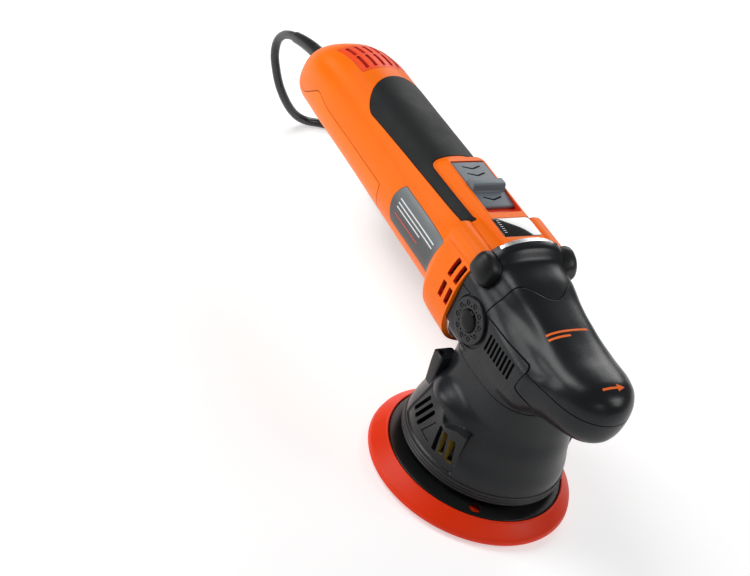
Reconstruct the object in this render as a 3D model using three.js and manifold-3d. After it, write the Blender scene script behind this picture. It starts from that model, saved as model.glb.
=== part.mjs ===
// Dual action polisher: long motor body with a rubber grip and a slide switch, right-angle
// gear head, eccentric spindle and a 150 mm hook-and-loop backing plate.
// Millimetres. +Z up along the spindle, +X from handle to nose, the operator's right is -Y.
// The origin is on the spindle axis, at the underside of the backing plate.
import * as THREE from "three";
import { mergeVertices } from "three/addons/utils/BufferGeometryUtils.js";
import Module from "manifold-3d";

const wasm = await Module();
wasm.setup();

// ---- Driving dimensions -------------------------------------------------------------------

const GAP = 0.3; // clearance between neighbouring pieces
const PLATE_R = 75; // backing plate
const ORBIT = 15; // stroke of the plate: twice the eccentricity
const THROW_ANGLE = -54 * (Math.PI / 180); // where the plate stands at rest
const PLATE_X = (ORBIT / 2) * Math.cos(THROW_ANGLE);
const PLATE_Y = (ORBIT / 2) * Math.sin(THROW_ANGLE);
const HOOK_TOP = 1.6; // hook layer
const RIM_Z = 4.6; // widest line of the cushion
const PLATE_TOP = 16; // upper face of the plate's hard core
const CORE_R = 63.6; // hard core
const PLATE_WINDOW = { count: 3, r: 4.4, reach: 55.6, first: -0.55 }; // the cushion shows through
const SKIRT_Z = 19.6; // lower edge of the shroud
const SKIRT_R = 59;
const MOTOR_Z = 123; // motor axis, along X
const HEAD_Z = 92; // seam between head and shroud
const HANDLE_END = -313;
const COVER_FRONT = -163; // front edge of the lower handle cover
const FLANGE_X = -46; // joint between motor housing and gear head
const NOSE_X = 91.5;
const WALL = 3.2; // orange housing wall
const HEAD_WALL = 2.6;
const ISLAND_TOP = 165.5; // raised switch island
const ISLAND_REAR = -143;
const ISLAND_HALF = 19.2;
const TUNNEL_R = 9.6; // half-round screw tunnels at the front corners of the motor housing
const TUNNEL_Y = 29.5;
const TUNNEL_Z = 149;
const BOSS_X = -24; // side-handle boss
const BOSS_Z = 117.5;
const SIDE_Y = 40; // outer face of the head's side covers
const PINION_TEETH = 10;
const GEAR_TEETH = 35;
const GEAR_R = 26; // pitch radius of the crown gear at its outer end
const SHAFT_R = 4; // armature shaft
const SPINDLE_R = 7;
const CORD_R = 3.5;
const RING = 24; // points round a lofted section

// ---- Materials ----------------------------------------------------------------------------

function material(color, roughness, metalness = 0) {
  return new THREE.MeshStandardMaterial({ color, roughness, metalness });
}
const ORANGE = material(0xff6f00, 0.4);
const VENT_ORANGE = material(0xf2411c, 0.45);
const DARK_GREY = material(0x3c3e42, 0.42);
const BLACK_PLASTIC = material(0x161719, 0.4);
const RUBBER = material(0x1c1d1f, 0.85);
const SWITCH_GREY = material(0x6c747c, 0.5);
const WINDOW_BLACK = material(0x0b0c0e, 0.08);
const CUSHION_RED = material(0xdc2104, 0.45);
const HOOK_BLACK = material(0x202020, 0.95);
const STEEL = material(0x9a9da1, 0.35, 1);
const ALUMINIUM = material(0xc3c6c9, 0.4, 1);
const IRON = material(0x55585c, 0.5, 1);
const COPPER = material(0xb4643a, 0.35, 1);
const BRASS = material(0xb08d45, 0.35, 1);
const CARBON = material(0x2a2a2c, 0.7);
const BOARD_GREEN = material(0x1f5a3a, 0.6);
const BADGE_GREY = material(0x44484e, 0.35);

// ---- Solid helpers ------------------------------------------------------------------------

// A closed geometry as a manifold-3d solid, with its faces pointing out.
function solid(geometry) {
  const bare = geometry.clone();
  bare.deleteAttribute("normal");
  bare.deleteAttribute("uv");
  const merged = mergeVertices(bare, 1e-4);
  const points = merged.attributes.position.array;
  const corners = [];
  const source = merged.index.array;
  for (let i = 0; i < source.length; i += 3) {
    const [a, b, c] = [source[i], source[i + 1], source[i + 2]];
    if (a !== b && b !== c && c !== a) corners.push(a, b, c);
  }
  if (signedVolume(points, corners) < 0) corners.reverse();
  const mesh = new wasm.Mesh({
    numProp: 3,
    vertProperties: new Float32Array(points),
    triVerts: new Uint32Array(corners),
  });
  return new wasm.Manifold(mesh);
}

function signedVolume(points, corners) {
  const [a, b, c] = [new THREE.Vector3(), new THREE.Vector3(), new THREE.Vector3()];
  let sum = 0;
  for (let i = 0; i < corners.length; i += 3) {
    a.fromArray(points, corners[i] * 3);
    b.fromArray(points, corners[i + 1] * 3);
    c.fromArray(points, corners[i + 2] * 3);
    sum += a.dot(b.cross(c));
  }
  return sum;
}

function join(first, ...others) {
  return others.reduce((sum, other) => sum.add(other), first);
}

function cut(first, ...others) {
  return others.reduce((rest, other) => rest.subtract(other), first);
}

function common(first, ...others) {
  return others.reduce((rest, other) => rest.intersect(other), first);
}

// The geometry of a solid, and its mesh in the model.
const polisher = new THREE.Group();
function piece(name, shape, finish) {
  const mesh = shape.getMesh();
  const geometry = new THREE.BufferGeometry();
  geometry.setAttribute("position", new THREE.BufferAttribute(mesh.vertProperties, 3));
  geometry.setIndex(new THREE.BufferAttribute(mesh.triVerts, 1));
  geometry.computeVertexNormals();
  const made = new THREE.Mesh(geometry, finish);
  made.name = name;
  polisher.add(made);
}

function block(x0, x1, y0, y1, z0, z1) {
  const box = new THREE.BoxGeometry(x1 - x0, y1 - y0, z1 - z0);
  box.translate((x0 + x1) / 2, (y0 + y1) / 2, (z0 + z1) / 2);
  return solid(box);
}

// A cylinder along "x", "y" or "z" between two coordinates on that axis.
function rod(axis, from, to, radius, centre, sides = 20) {
  const [u, v] = centre;
  const shape = new THREE.CylinderGeometry(radius, radius, to - from, sides);
  const middle = (from + to) / 2;
  if (axis === "x") shape.rotateZ(Math.PI / 2).translate(middle, u, v);
  if (axis === "y") shape.translate(u, middle, v);
  if (axis === "z") shape.rotateX(Math.PI / 2).translate(u, v, middle);
  return solid(shape);
}

// A solid of revolution about the vertical through (x, y); the outline is [radius, z] pairs.
function turned(outline, x = 0, y = 0, sides = 24) {
  const points = outline.map(([r, z]) => new THREE.Vector2(r, z));
  const shape = new THREE.LatheGeometry(points, sides);
  shape.rotateX(Math.PI / 2).translate(x, y, 0);
  return solid(shape);
}

// The same about the motor axis; the outline is [radius, x] pairs.
function turnedOnMotor(outline, sides = 20) {
  const points = outline.map(([r, x]) => new THREE.Vector2(r, x));
  const shape = new THREE.LatheGeometry(points, sides);
  shape.rotateZ(-Math.PI / 2).translate(0, 0, MOTOR_Z);
  return solid(shape);
}

function ringOutline(inner, outer, from, to) {
  return [
    [inner, from],
    [outer, from],
    [outer, to],
    [inner, to],
    [inner, from],
  ];
}

function shapeOf(points) {
  return new THREE.Shape(points.map(([u, v]) => new THREE.Vector2(u, v)));
}

// A prism over an outline in the XY plane, between two heights.
function prismXY(outline, z0, z1) {
  const shape = new THREE.ExtrudeGeometry(shapeOf(outline), {
    depth: z1 - z0,
    bevelEnabled: false,
  });
  return solid(shape.translate(0, 0, z0));
}

// A prism over an outline of [x, z] pairs, between two values of y.
function prismXZ(outline, y0, y1) {
  const shape = new THREE.ExtrudeGeometry(shapeOf(outline), {
    depth: y1 - y0,
    bevelEnabled: false,
  });
  return solid(shape.rotateX(Math.PI / 2).translate(0, y1, 0));
}

// Skins a stack of rings that have the same number of points, and closes both ends.
function loft(rings) {
  const count = rings[0].length;
  const points = rings.flat();
  const corners = [];
  for (let i = 0; i < rings.length - 1; i++)
    for (let j = 0; j < count; j++) {
      const a = i * count + j;
      const b = i * count + ((j + 1) % count);
      corners.push(a, b, b + count, a, b + count, a + count);
    }
  const last = (rings.length - 1) * count;
  for (let j = 1; j < count - 1; j++) {
    corners.push(0, j + 1, j);
    corners.push(last, last + j, last + j + 1);
  }
  const geometry = new THREE.BufferGeometry().setFromPoints(points);
  geometry.setIndex(corners);
  return solid(geometry);
}

function superpower(value, exponent) {
  return Math.sign(value) * Math.abs(value) ** (2 / exponent);
}

// A rounded section across X: half width, top, bottom, widest height and squareness.
function sectionRing(x, { half, top, bottom, middle, upper, lower }) {
  const ring = [];
  for (let i = 0; i < RING; i++) {
    const angle = (i / RING) * 2 * Math.PI;
    const exponent = Math.sin(angle) > 0 ? upper : lower;
    const reach = Math.sin(angle) > 0 ? top - middle : middle - bottom;
    const y = half * superpower(Math.cos(angle), exponent);
    const z = middle + reach * superpower(Math.sin(angle), exponent);
    ring.push(new THREE.Vector3(x, y, z));
  }
  return ring;
}

// Straight interpolation in a table of stations whose first column is x.
function stationAt(table, x) {
  const next = Math.max(1, table.findIndex((row) => row[0] >= x));
  const [before, after] = [table[next - 1], table[next]];
  const share = (x - before[0]) / (after[0] - before[0]);
  return before.map((value, i) => value + (after[i] - value) * share);
}

// ---- Motor body: sections along X ---------------------------------------------------------

// x, half width, top, bottom, squareness above, squareness below
const BODY = [
  [-313, 20, 130, 94, 2.3, 2.3],
  [-309.5, 24, 135.5, 91, 2.3, 2.3],
  [-300, 28.5, 144, 88.5, 2.3, 2.3],
  [-288, 31.8, 151.5, 88.5, 2.2, 2.2],
  [-272, 34.4, 157, 88.5, 2.1, 2.1],
  [-254, 35.6, 159.6, 88.5, 2.1, 2.1],
  [-215, 36, 160, 87.5, 2.1, 2.1],
  [-170, 37, 160.5, 86, 2.1, 2.1],
  [-130, 38, 161, 84.5, 2.1, 2.1],
  [-84, 39.4, 162.3, 83, 2.1, 2.1],
  [-76, 42.4, 162.8, 77.5, 2.3, 3],
  [-46, 43, 164, 76, 2.3, 3.2],
];

function bodyLoft(inset, from, to) {
  const between = BODY.map((row) => row[0]).filter((x) => x > from && x < to);
  const rings = [from, ...between, to].map((x) => {
    const [, half, top, bottom, upper, lower] = stationAt(BODY, Math.min(x, FLANGE_X));
    return sectionRing(x, {
      half: half - inset,
      top: top - inset,
      bottom: bottom + inset,
      middle: (top + bottom) / 2,
      upper,
      lower,
    });
  });
  return loft(rings);
}

const bodyOuter = bodyLoft(0, HANDLE_END, FLANGE_X);
const bodyHollow = bodyLoft(WALL, HANDLE_END + WALL, FLANGE_X + 1);

// The layer of the body's surface between two depths.
function bodyLayer(outer, inner) {
  return cut(
    bodyLoft(outer, HANDLE_END + outer, FLANGE_X),
    bodyLoft(inner, HANDLE_END + inner, FLANGE_X + 1),
  );
}

// Side outline of the lower handle cover, [x, z]; shrunk by a gap for the cover itself.
function coverOutline(gap) {
  return [
    [COVER_FRONT - gap, 60],
    [COVER_FRONT - gap, 121 - gap],
    [-250, 121 - gap],
    [-268, 124.5 - gap],
    [-290, 107 - gap],
    [-340, 103 - gap],
    [-340, 60],
  ];
}

const GRIP_DEPTH = 1.6;
// Plan of the rubber grip: round rear end, and a strip on each side of the switch island.
function gripPlan(gap) {
  const half = 29.5 - gap;
  const inner = ISLAND_HALF + 1 + gap;
  const front = -78 - gap;
  const outline = [
    [front, -half],
    [front, -inner],
    [ISLAND_REAR - 0.7 - gap, -inner],
    [ISLAND_REAR - 0.7 - gap, inner],
    [front, inner],
    [front, half],
  ];
  const arcCentre = -210;
  for (let i = 0; i <= 12; i++) {
    const angle = Math.PI / 2 + (i / 12) * Math.PI;
    const x = arcCentre + (28 - gap) * Math.cos(angle);
    outline.push([x, (28 - gap) * Math.sin(angle)]);
  }
  return prismXY(outline, MOTOR_Z, 175);
}

const RECESS = { rear: -132, front: -76.8, half: 14.4, floor: 161.2 };
const WINDOW = { rear: -71, front: -51.5, half: 16, depth: 1.8 };
const VENT = { rear: -286, front: -249, half: 19 };
const BADGE = { rear: -145, front: -79, low: 107.5, high: 138 };

function ventOpening(gap) {
  return block(VENT.rear + gap, VENT.front - gap, gap - VENT.half, VENT.half - gap, MOTOR_Z, 175);
}

function badgeOutline(gap) {
  const { rear, front, low, high } = BADGE;
  return [
    [rear + 5 + gap, low + gap],
    [front - 3 - gap, low + gap],
    [front - gap, high - gap],
    [rear + 2 + gap, high - gap],
    [rear + gap, (low + high) / 2],
  ];
}

// Four slots on each side of the front flare, in two rows.
function flareSlots() {
  const slots = [];
  for (const side of [-1, 1])
    for (const [row, height] of [
      [128, 14],
      [110, 13],
    ])
      for (const x of [-60, -52]) {
        const edge = side * 50;
        const y = [Math.min(side * 30, edge), Math.max(side * 30, edge)];
        slots.push(block(x, x + 4.4, y[0], y[1], row, row + height));
      }
  return slots;
}

function tunnels() {
  return [-1, 1].map((side) =>
    rod("x", -76, FLANGE_X, TUNNEL_R, [side * TUNNEL_Y, TUNNEL_Z], 20),
  );
}

// The raised island round the switch and the display, with sloped sides and round rear corners.
function switchIsland() {
  const ring = (rear, half, z) => {
    const points = [new THREE.Vector3(FLANGE_X, -half, z), new THREE.Vector3(FLANGE_X, half, z)];
    for (const side of [1, -1])
      for (let i = 0; i <= 3; i++) {
        const angle = Math.PI / 2 + (side > 0 ? i : 3 - i) * (Math.PI / 6);
        const x = rear + 7 + 7 * Math.cos(angle);
        points.push(new THREE.Vector3(x, side * (half - 7 + 7 * Math.sin(angle)), z));
      }
    return points;
  };
  return loft([
    ring(ISLAND_REAR, ISLAND_HALF, 140),
    ring(ISLAND_REAR, ISLAND_HALF, 155),
    ring(ISLAND_REAR + 6, ISLAND_HALF - 2.7, ISLAND_TOP),
  ]);
}

const EXIT = { z: 114.5, hole: 7 };
const WHEEL = { x: -276, y: 16.5, z: 98, r: 11, width: 5 };

function addMotorHousing() {
  const outside = join(bodyOuter, switchIsland(), ...tunnels());
  const gripPocket = common(gripPlan(0), bodyLayer(-3, GRIP_DEPTH));
  const badgePocket = common(prismXZ(badgeOutline(0), -60, 60), bodyLayer(-3, 0.8));
  const { rear, front, half, floor } = RECESS;
  const housing = cut(
    outside,
    bodyHollow,
    prismXZ(coverOutline(0), -60, 60),
    gripPocket,
    badgePocket,
    block(rear, front, -half, half, floor, 175),
    block(-118, -92, -5, 5, 150, 175),
    block(WINDOW.rear, WINDOW.front, -WINDOW.half, WINDOW.half, ISLAND_TOP - WINDOW.depth, 175),
    ventOpening(0),
    rod("x", HANDLE_END - 5, HANDLE_END + 8, EXIT.hole, [0, EXIT.z], 20),
    ...flareSlots(),
  );
  piece("motor_housing", housing, ORANGE);
}

function addHandleCover() {
  const shell = cut(bodyOuter, bodyHollow);
  const wheelSlot = block(WHEEL.x - 12, WHEEL.x + 12, 12, 60, WHEEL.z - 3.4, WHEEL.z + 3.4);
  const cover = cut(common(shell, prismXZ(coverOutline(GAP), -60, 60)), wheelSlot);
  piece("lower_handle_cover", cover, ORANGE);
}

function addRearVent() {
  const panel = common(cut(bodyOuter, bodyHollow), ventOpening(GAP));
  const slots = [];
  for (const [from, to] of [
    [-281.5, -269.5],
    [-265.5, -252.5],
  ])
    for (let i = -2; i <= 2; i++)
      slots.push(block(from, to, i * 6.8 - 1.5, i * 6.8 + 1.5, MOTOR_Z, 175));
  piece("rear_vent_panel", cut(panel, ...slots), VENT_ORANGE);
}

function addTrim() {
  const grip = common(gripPlan(GAP), bodyLayer(0, GRIP_DEPTH - GAP));
  piece("grip_sleeve", grip, RUBBER);
  const badges = common(prismXZ(badgeOutline(GAP), -60, 60), bodyLayer(0, 0.5));
  piece("badge_right", common(badges, block(-150, -80, -60, 0, 90, 150)), BADGE_GREY);
  piece("badge_left", common(badges, block(-150, -80, 0, 60, 90, 150)), BADGE_GREY);
  const { rear, front, half, depth } = WINDOW;
  const low = ISLAND_TOP - depth + GAP;
  const lens = block(rear + GAP, front - GAP, GAP - half, half - GAP, low, ISLAND_TOP);
  piece("display_window", lens, WINDOW_BLACK);
  for (const [name, side] of [
    ["boss_cap_right", -1],
    ["boss_cap_left", 1],
  ]) {
    const centre = [side * (TUNNEL_Y + 2.5), TUNNEL_Z + 2];
    const stem = rod("x", FLANGE_X + GAP, -34, TUNNEL_R, centre, 20);
    const nose = rod("x", -34, -30.5, TUNNEL_R - 3, centre, 20);
    piece(name, cut(join(stem, nose), capSeat()), RUBBER);
  }
}

// ---- Gear head ----------------------------------------------------------------------------

// x, half width, top, bottom, squareness above, squareness below
const HEAD = [
  [-42, 40.2, 168.5, 92.3, 2.6, 9],
  [-38, 40, 167.2, 92.3, 2.6, 9],
  [-31, 39.5, 160.5, 92.3, 2.6, 9],
  [-15, 38, 157.5, 92.3, 2.6, 9],
  [0, 36, 153.5, 92.3, 2.6, 8],
  [18, 34, 150.5, 92.3, 2.6, 7],
  [38, 32, 147.8, 92.3, 2.6, 5],
  [48, 31.3, 147.4, 96, 2.5, 3.4],
  [60, 30.8, 148, 101, 2.5, 3],
  [72, 28, 148.4, 103, 2.4, 2.8],
  [81, 22.5, 146, 104.5, 2.3, 2.6],
  [87, 15.5, 141.5, 108, 2.2, 2.4],
  [90.5, 8, 135, 114, 2, 2],
  [NOSE_X, 3, 129, 120, 2, 2],
];

function headLoft(inset, from, to) {
  const between = HEAD.map((row) => row[0]).filter((x) => x > from && x < to);
  const rings = [from, ...between, to].map((x) => {
    const [, half, top, bottom, upper, lower] = stationAt(HEAD, Math.max(x, HEAD[0][0]));
    const middle = Math.min(126, (top + bottom) / 2 + 4);
    return sectionRing(x, {
      half: half - inset,
      top: top - inset,
      bottom: bottom + inset,
      middle,
      upper,
      lower,
    });
  });
  return loft(rings);
}

const headOuter = headLoft(0, -42, NOSE_X);
const headHollow = join(
  headLoft(HEAD_WALL, -43, 86),
  block(-45, 34, -30, 30, 80, 100),
  rod("z", 80, 100, 30, [10, 0], 24),
);
const headShell = cut(headOuter, headHollow);

// Rear part of the head as a plain solid, which the rubber caps are cut to.
function capSeat() {
  return headLoft(0, -42, 0);
}

// Room in the head for the two rubber caps.
function tunnelRoom() {
  return [-1, 1].map((side) =>
    rod("x", -50, -28, TUNNEL_R + GAP, [side * (TUNNEL_Y + 2.5), TUNNEL_Z + 2], 20),
  );
}

// Plan of the wavy seam between head cover and nose cap.
function seamPlan(shift) {
  const wave = [
    [-1, 0],
    [-4, 8],
    [-12, 16],
    [-15.5, 24],
    [-15, 50],
  ];
  const left = wave.map(([x, y]) => [x + shift, y]);
  const right = wave
    .slice(1)
    .map(([x, y]) => [x + shift, -y])
    .reverse();
  return prismXY([...right, ...left, [110, 50], [110, -50]], 60, 190);
}

// Side outline of the head's side covers, [x, z].
function sideOutline(gap) {
  return [
    [-42 + gap, HEAD_Z + 0.3],
    [-42 + gap, 132 - gap],
    [36 - gap, 132 - gap],
    [38.5 - gap, 129 - gap],
    [36 - gap, 113],
    [38 - gap, HEAD_Z + 0.3],
  ];
}

function sideRegion(side) {
  const y = side < 0 ? [-60, -28] : [28, 60];
  return join(prismXZ(sideOutline(0), ...y), rod("y", ...y, 16.8, [BOSS_X, BOSS_Z], 24));
}

const CHIN_Z = 128; // seam between nose cap and chin
function addHeadShells() {
  const open = cut(headShell, sideRegion(-1), sideRegion(1));
  const cover = cut(open, seamPlan(-GAP / 2), ...tunnelRoom());
  piece("head_cover", largest(cover), DARK_GREY);
  const nose = common(open, seamPlan(GAP / 2));
  piece("nose_cap", largest(common(nose, block(-60, 110, -60, 60, CHIN_Z, 190))), DARK_GREY);
  const chin = common(nose, block(-60, 110, -60, 60, 60, CHIN_Z - GAP));
  piece("nose_chin", largest(chin), DARK_GREY);
}

// The biggest of a solid's separate bodies.
function largest(shape) {
  const bodies = shape.decompose();
  return bodies.sort((a, b) => b.volume() - a.volume())[0];
}

const HOLLOW_RING = { count: 10, radius: 12.4, hole: 1.9 };
function addSideCovers() {
  for (const [name, plug, side] of [
    ["side_cover_right", "boss_plug_right", -1],
    ["side_cover_left", "boss_plug_left", 1],
  ]) {
    const out = (depth) => side * (SIDE_Y - depth);
    const slab = (a, b) => [Math.min(out(a), out(b)), Math.max(out(a), out(b))];
    const tray = cut(
      prismXZ(sideOutline(GAP), ...slab(0, 7)),
      prismXZ(shrunkSide(), ...slab(2.6, 8)),
    );
    const boss = rod("y", ...slab(-1.6, 6), 16.5, [BOSS_X, BOSS_Z], 24);
    const slots = [];
    for (let i = 0; i < 8; i++)
      slots.push(block(-2 + i * 4, 0.2 + i * 4, ...slab(-3, 9), 113, 125.5));
    const dimples = [];
    for (let i = 0; i < HOLLOW_RING.count; i++) {
      const angle = (i / HOLLOW_RING.count) * 2 * Math.PI;
      const x = BOSS_X + HOLLOW_RING.radius * Math.cos(angle);
      const z = BOSS_Z + HOLLOW_RING.radius * Math.sin(angle);
      dimples.push(rod("y", ...slab(-2.5, 0.2), HOLLOW_RING.hole, [x, z], 6));
    }
    const socket = rod("y", ...slab(-4, 4.6), 8.3, [BOSS_X, BOSS_Z], 20);
    const cover = cut(join(tray, boss), socket, ...slots, ...dimples);
    piece(name, cover, DARK_GREY);
    const plugBody = rod("y", ...slab(-2, 4.2), 8, [BOSS_X, BOSS_Z], 20);
    piece(plug, plugBody, BLACK_PLASTIC);
  }
}

function shrunkSide() {
  return [
    [-39, 93],
    [-39, 129],
    [33.5, 129],
    [33, 113],
    [34.5, 93],
  ];
}

// Aluminium gear case: flange between motor and head, and the cup round the crown gear.
const CASE = { outer: 28.5, inner: 27.4, low: 93, top: 131 };
function addGearCase() {
  const plate = loft(
    [FLANGE_X + GAP, -42.3].map((x) =>
      sectionRing(x, { half: 41, top: 169.5, bottom: 78, middle: 124, upper: 2.3, lower: 3.4 }),
    ),
  );
  const cup = turned(ringOutline(CASE.inner, CASE.outer + 1.6, CASE.low, CASE.top));
  const neck = rod("x", -44, -24, 19, [0, MOTOR_Z]);
  const floor = turned(ringOutline(15.3, CASE.outer, CASE.low - 2, CASE.low + 3));
  const collar = turned(ringOutline(12.6, 15.5, CASE.low - 9, CASE.low + 3));
  const roof = turned(ringOutline(9.6, CASE.outer, CASE.top - 2.5, CASE.top + 1));
  const casting = cut(
    join(plate, cup, neck, floor, collar, roof),
    rod("x", -50, -29, 14.3, [0, MOTOR_Z]),
    rod("x", -35, 0, 11, [0, MOTOR_Z]),
    rod("z", CASE.low + 3, CASE.top - 2.5, CASE.inner, [0, 0], 24),
    ...tunnelRoom(),
  );
  piece("gear_case", casting, ALUMINIUM);
}

// ---- Shroud and skirt ---------------------------------------------------------------------

// z, reach towards the handle, reach towards the nose, half width, squareness
const SHROUD = [
  [SKIRT_Z, SKIRT_R, SKIRT_R, SKIRT_R, 2],
  [31, 58.2, 58.2, 58.2, 2],
  [44, 55.5, 55.5, 54.5, 2],
  [57, 51, 52.5, 50, 2.1],
  [68, 45.5, 49, 45.5, 2.3],
  [75, 42.2, 47.5, 42.5, 2.5],
  [HEAD_Z - GAP, 41.7, 44.5, 39.7, 3],
];

function shroudLoft(inset, from, to) {
  const between = SHROUD.map((row) => row[0]).filter((z) => z > from && z < to);
  const rings = [from, ...between, to].map((z) => {
    const inside = Math.min(Math.max(z, SKIRT_Z), HEAD_Z - GAP);
    const [, rear, front, half, square] = stationAt(SHROUD, inside);
    const ring = [];
    for (let i = 0; i < RING; i++) {
      const angle = (i / RING) * 2 * Math.PI;
      const reach = Math.cos(angle) > 0 ? front : rear;
      const x = (reach - inset) * superpower(Math.cos(angle), square);
      const y = (half - inset) * superpower(Math.sin(angle), square);
      ring.push(new THREE.Vector3(x, y, z));
    }
    return ring;
  });
  return loft(rings);
}

function addShroud() {
  const shell = cut(shroudLoft(0, 27, HEAD_Z - GAP), shroudLoft(2.8, 20, HEAD_Z + 2));
  const slots = [];
  for (const side of [-1, 1])
    for (let i = 0; i < 6; i++) {
      const x = -17 + i * 6.6;
      const y = side < 0 ? [-66, -40] : [40, 66];
      slots.push(block(x, x + 3, ...y, 36, 56));
    }
  const ears = join(block(-38, -28, -45, -32, 68, 80), block(-38, -28, 32, 45, 68, 80));
  const earHoles = [-41.4, 41.4].map((y) => rod("z", 73, 90, 2.4, [-33.4, y], 8));
  const outside = join(shell, cut(ears, shroudLoft(1.5, 60, HEAD_Z + 2)));
  const body = cut(outside, ...earHoles, ...slots);
  piece("shroud", body, DARK_GREY);
  const ring = cut(shroudLoft(-0.6, SKIRT_Z, 27 - GAP), shroudLoft(2.8, 10, 40));
  piece("skirt_ring", ring, RUBBER);
}

// ---- Motor --------------------------------------------------------------------------------

// Teeth of a bevel gear as rings of points about its own axis, scaled towards the cone's apex.
function bevelRing(teeth, pitchRadius, scale, share, inner, outer) {
  const ring = [];
  const step = (2 * Math.PI) / teeth;
  const [root, tip] = [inner * scale, outer * scale];
  const flank = share * step;
  for (let i = 0; i < teeth; i++) {
    const middle = i * step;
    for (const [offset, radius] of [
      [-0.5 * step + 0.001, root],
      [-flank, root],
      [-flank * 0.5, tip],
      [flank * 0.5, tip],
      [flank, root],
    ])
      ring.push([radius * Math.cos(middle + offset), radius * Math.sin(middle + offset)]);
  }
  return ring;
}

const CONE = Math.hypot(GEAR_R, (GEAR_R * PINION_TEETH) / GEAR_TEETH);
const INNER_SHARE = 0.7; // inner end of the teeth, as a share of the cone distance
const MODULE = (2 * GEAR_R) / GEAR_TEETH;

// The pinion's teeth run along X towards the cone's apex on the spindle axis.
function pinionSolid() {
  const pitch = (GEAR_R * PINION_TEETH) / GEAR_TEETH;
  const rings = [INNER_SHARE, 1].map((scale) =>
    bevelRing(PINION_TEETH, pitch, scale, 0.3, pitch - 1.15 * MODULE, pitch + 0.72 * MODULE).map(
      ([u, v]) => new THREE.Vector3(-GEAR_R * scale, u, v + MOTOR_Z),
    ),
  );
  return loft(rings);
}

// The crown gear's teeth stand on its upper face: a cone of teeth over a plain blank.
function crownSolid() {
  const low = MOTOR_Z - 16;
  const drop = (GEAR_R * PINION_TEETH) / GEAR_TEETH;
  const blank = turned(
    [
      [SPINDLE_R + GAP, low],
      [GEAR_R - 1, low],
      [GEAR_R + 0.4, MOTOR_Z - drop - 1.3 * MODULE],
      [GEAR_R * INNER_SHARE, MOTOR_Z - drop * INNER_SHARE - 1.3 * MODULE],
      [13, MOTOR_Z - 9],
      [SPINDLE_R + GAP, MOTOR_Z - 9],
      [SPINDLE_R + GAP, low],
    ],
    0,
    0,
    GEAR_TEETH,
  );
  const teeth = [];
  for (let i = 0; i < GEAR_TEETH; i++) {
    const middle = ((i + 0.5) / GEAR_TEETH) * 2 * Math.PI;
    teeth.push(crownTooth(middle, drop));
  }
  return join(blank, ...teeth);
}

function crownTooth(middle, drop) {
  const rings = [INNER_SHARE + 0.01, 0.99].map((scale) => {
    const radius = GEAR_R * scale;
    const base = MOTOR_Z - drop * scale;
    const half = MODULE * scale;
    return [
      [-0.62 * half, base - 1.5 * half],
      [0.62 * half, base - 1.5 * half],
      [0.36 * half, base + 0.62 * half],
      [-0.36 * half, base + 0.62 * half],
    ].map(([along, z]) => {
      const x = radius * Math.cos(middle) - along * Math.sin(middle);
      const y = radius * Math.sin(middle) + along * Math.cos(middle);
      return new THREE.Vector3(x, y, z);
    });
  });
  return loft(rings);
}

const FAN = { rear: -75, front: -64, hub: 10, tip: 27 };
function addArmature() {
  const shaft = turnedOnMotor([
    [0, -186],
    [3.5, -186],
    [3.5, -175],
    [SHAFT_R, -175],
    [SHAFT_R, -17],
    [0, -17],
  ]);
  piece("armature_shaft", shaft, STEEL);
  const core = turnedOnMotor(ringOutline(SHAFT_R + GAP, 17.5, -140, -96), 28);
  const notches = [];
  for (let i = 0; i < 12; i++) {
    const angle = (i / 12) * 2 * Math.PI;
    const centre = [17 * Math.cos(angle), MOTOR_Z + 17 * Math.sin(angle)];
    notches.push(rod("x", -145, -90, 1.5, centre, 4));
  }
  piece("armature_core", cut(core, ...notches), IRON);
  piece("commutator", turnedOnMotor(ringOutline(SHAFT_R + GAP, 11, -165, -148)), COPPER);
  piece("fan", fanSolid(), BLACK_PLASTIC);
  const bore = rod("x", -40, 0, SHAFT_R + GAP, [0, MOTOR_Z], 20);
  piece("drive_pinion", cut(pinionSolid(), bore), STEEL);
}

function fanSolid() {
  const hub = turnedOnMotor(ringOutline(SHAFT_R + GAP, FAN.hub, FAN.rear, FAN.front));
  const disc = turnedOnMotor(ringOutline(SHAFT_R + GAP, FAN.tip, FAN.rear, FAN.rear + 2), 28);
  const blades = [];
  for (let i = 0; i < 11; i++) {
    const blade = new THREE.BoxGeometry(FAN.front - FAN.rear - 1, FAN.tip - FAN.hub + 1, 1.6);
    blade.translate((FAN.front + FAN.rear) / 2, (FAN.tip + FAN.hub - 1) / 2, 0);
    blade.rotateX((i / 11) * 2 * Math.PI).translate(0, 0, MOTOR_Z);
    blades.push(solid(blade));
  }
  return join(hub, disc, ...blades);
}

function addStator() {
  const yoke = turnedOnMotor(ringOutline(18.4, 31, -141, -95), 28);
  const flats = [block(-150, -90, 27, 40, 80, 170), block(-150, -90, -40, -27, 80, 170)];
  piece("stator_core", cut(yoke, ...flats), IRON);
  const coil = (x0, x1) => cut(turnedOnMotor(ringOutline(19, 26.5, x0, x1), 24), sideGaps());
  piece("field_coil_front", coil(-94.6, -88), COPPER);
  piece("field_coil_rear", coil(-148, -141.4), COPPER);
}

// Notches that leave room for the brush leads beside the field coils.
function sideGaps() {
  return block(-160, -80, -30, -21, MOTOR_Z - 4, MOTOR_Z + 4);
}

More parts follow.
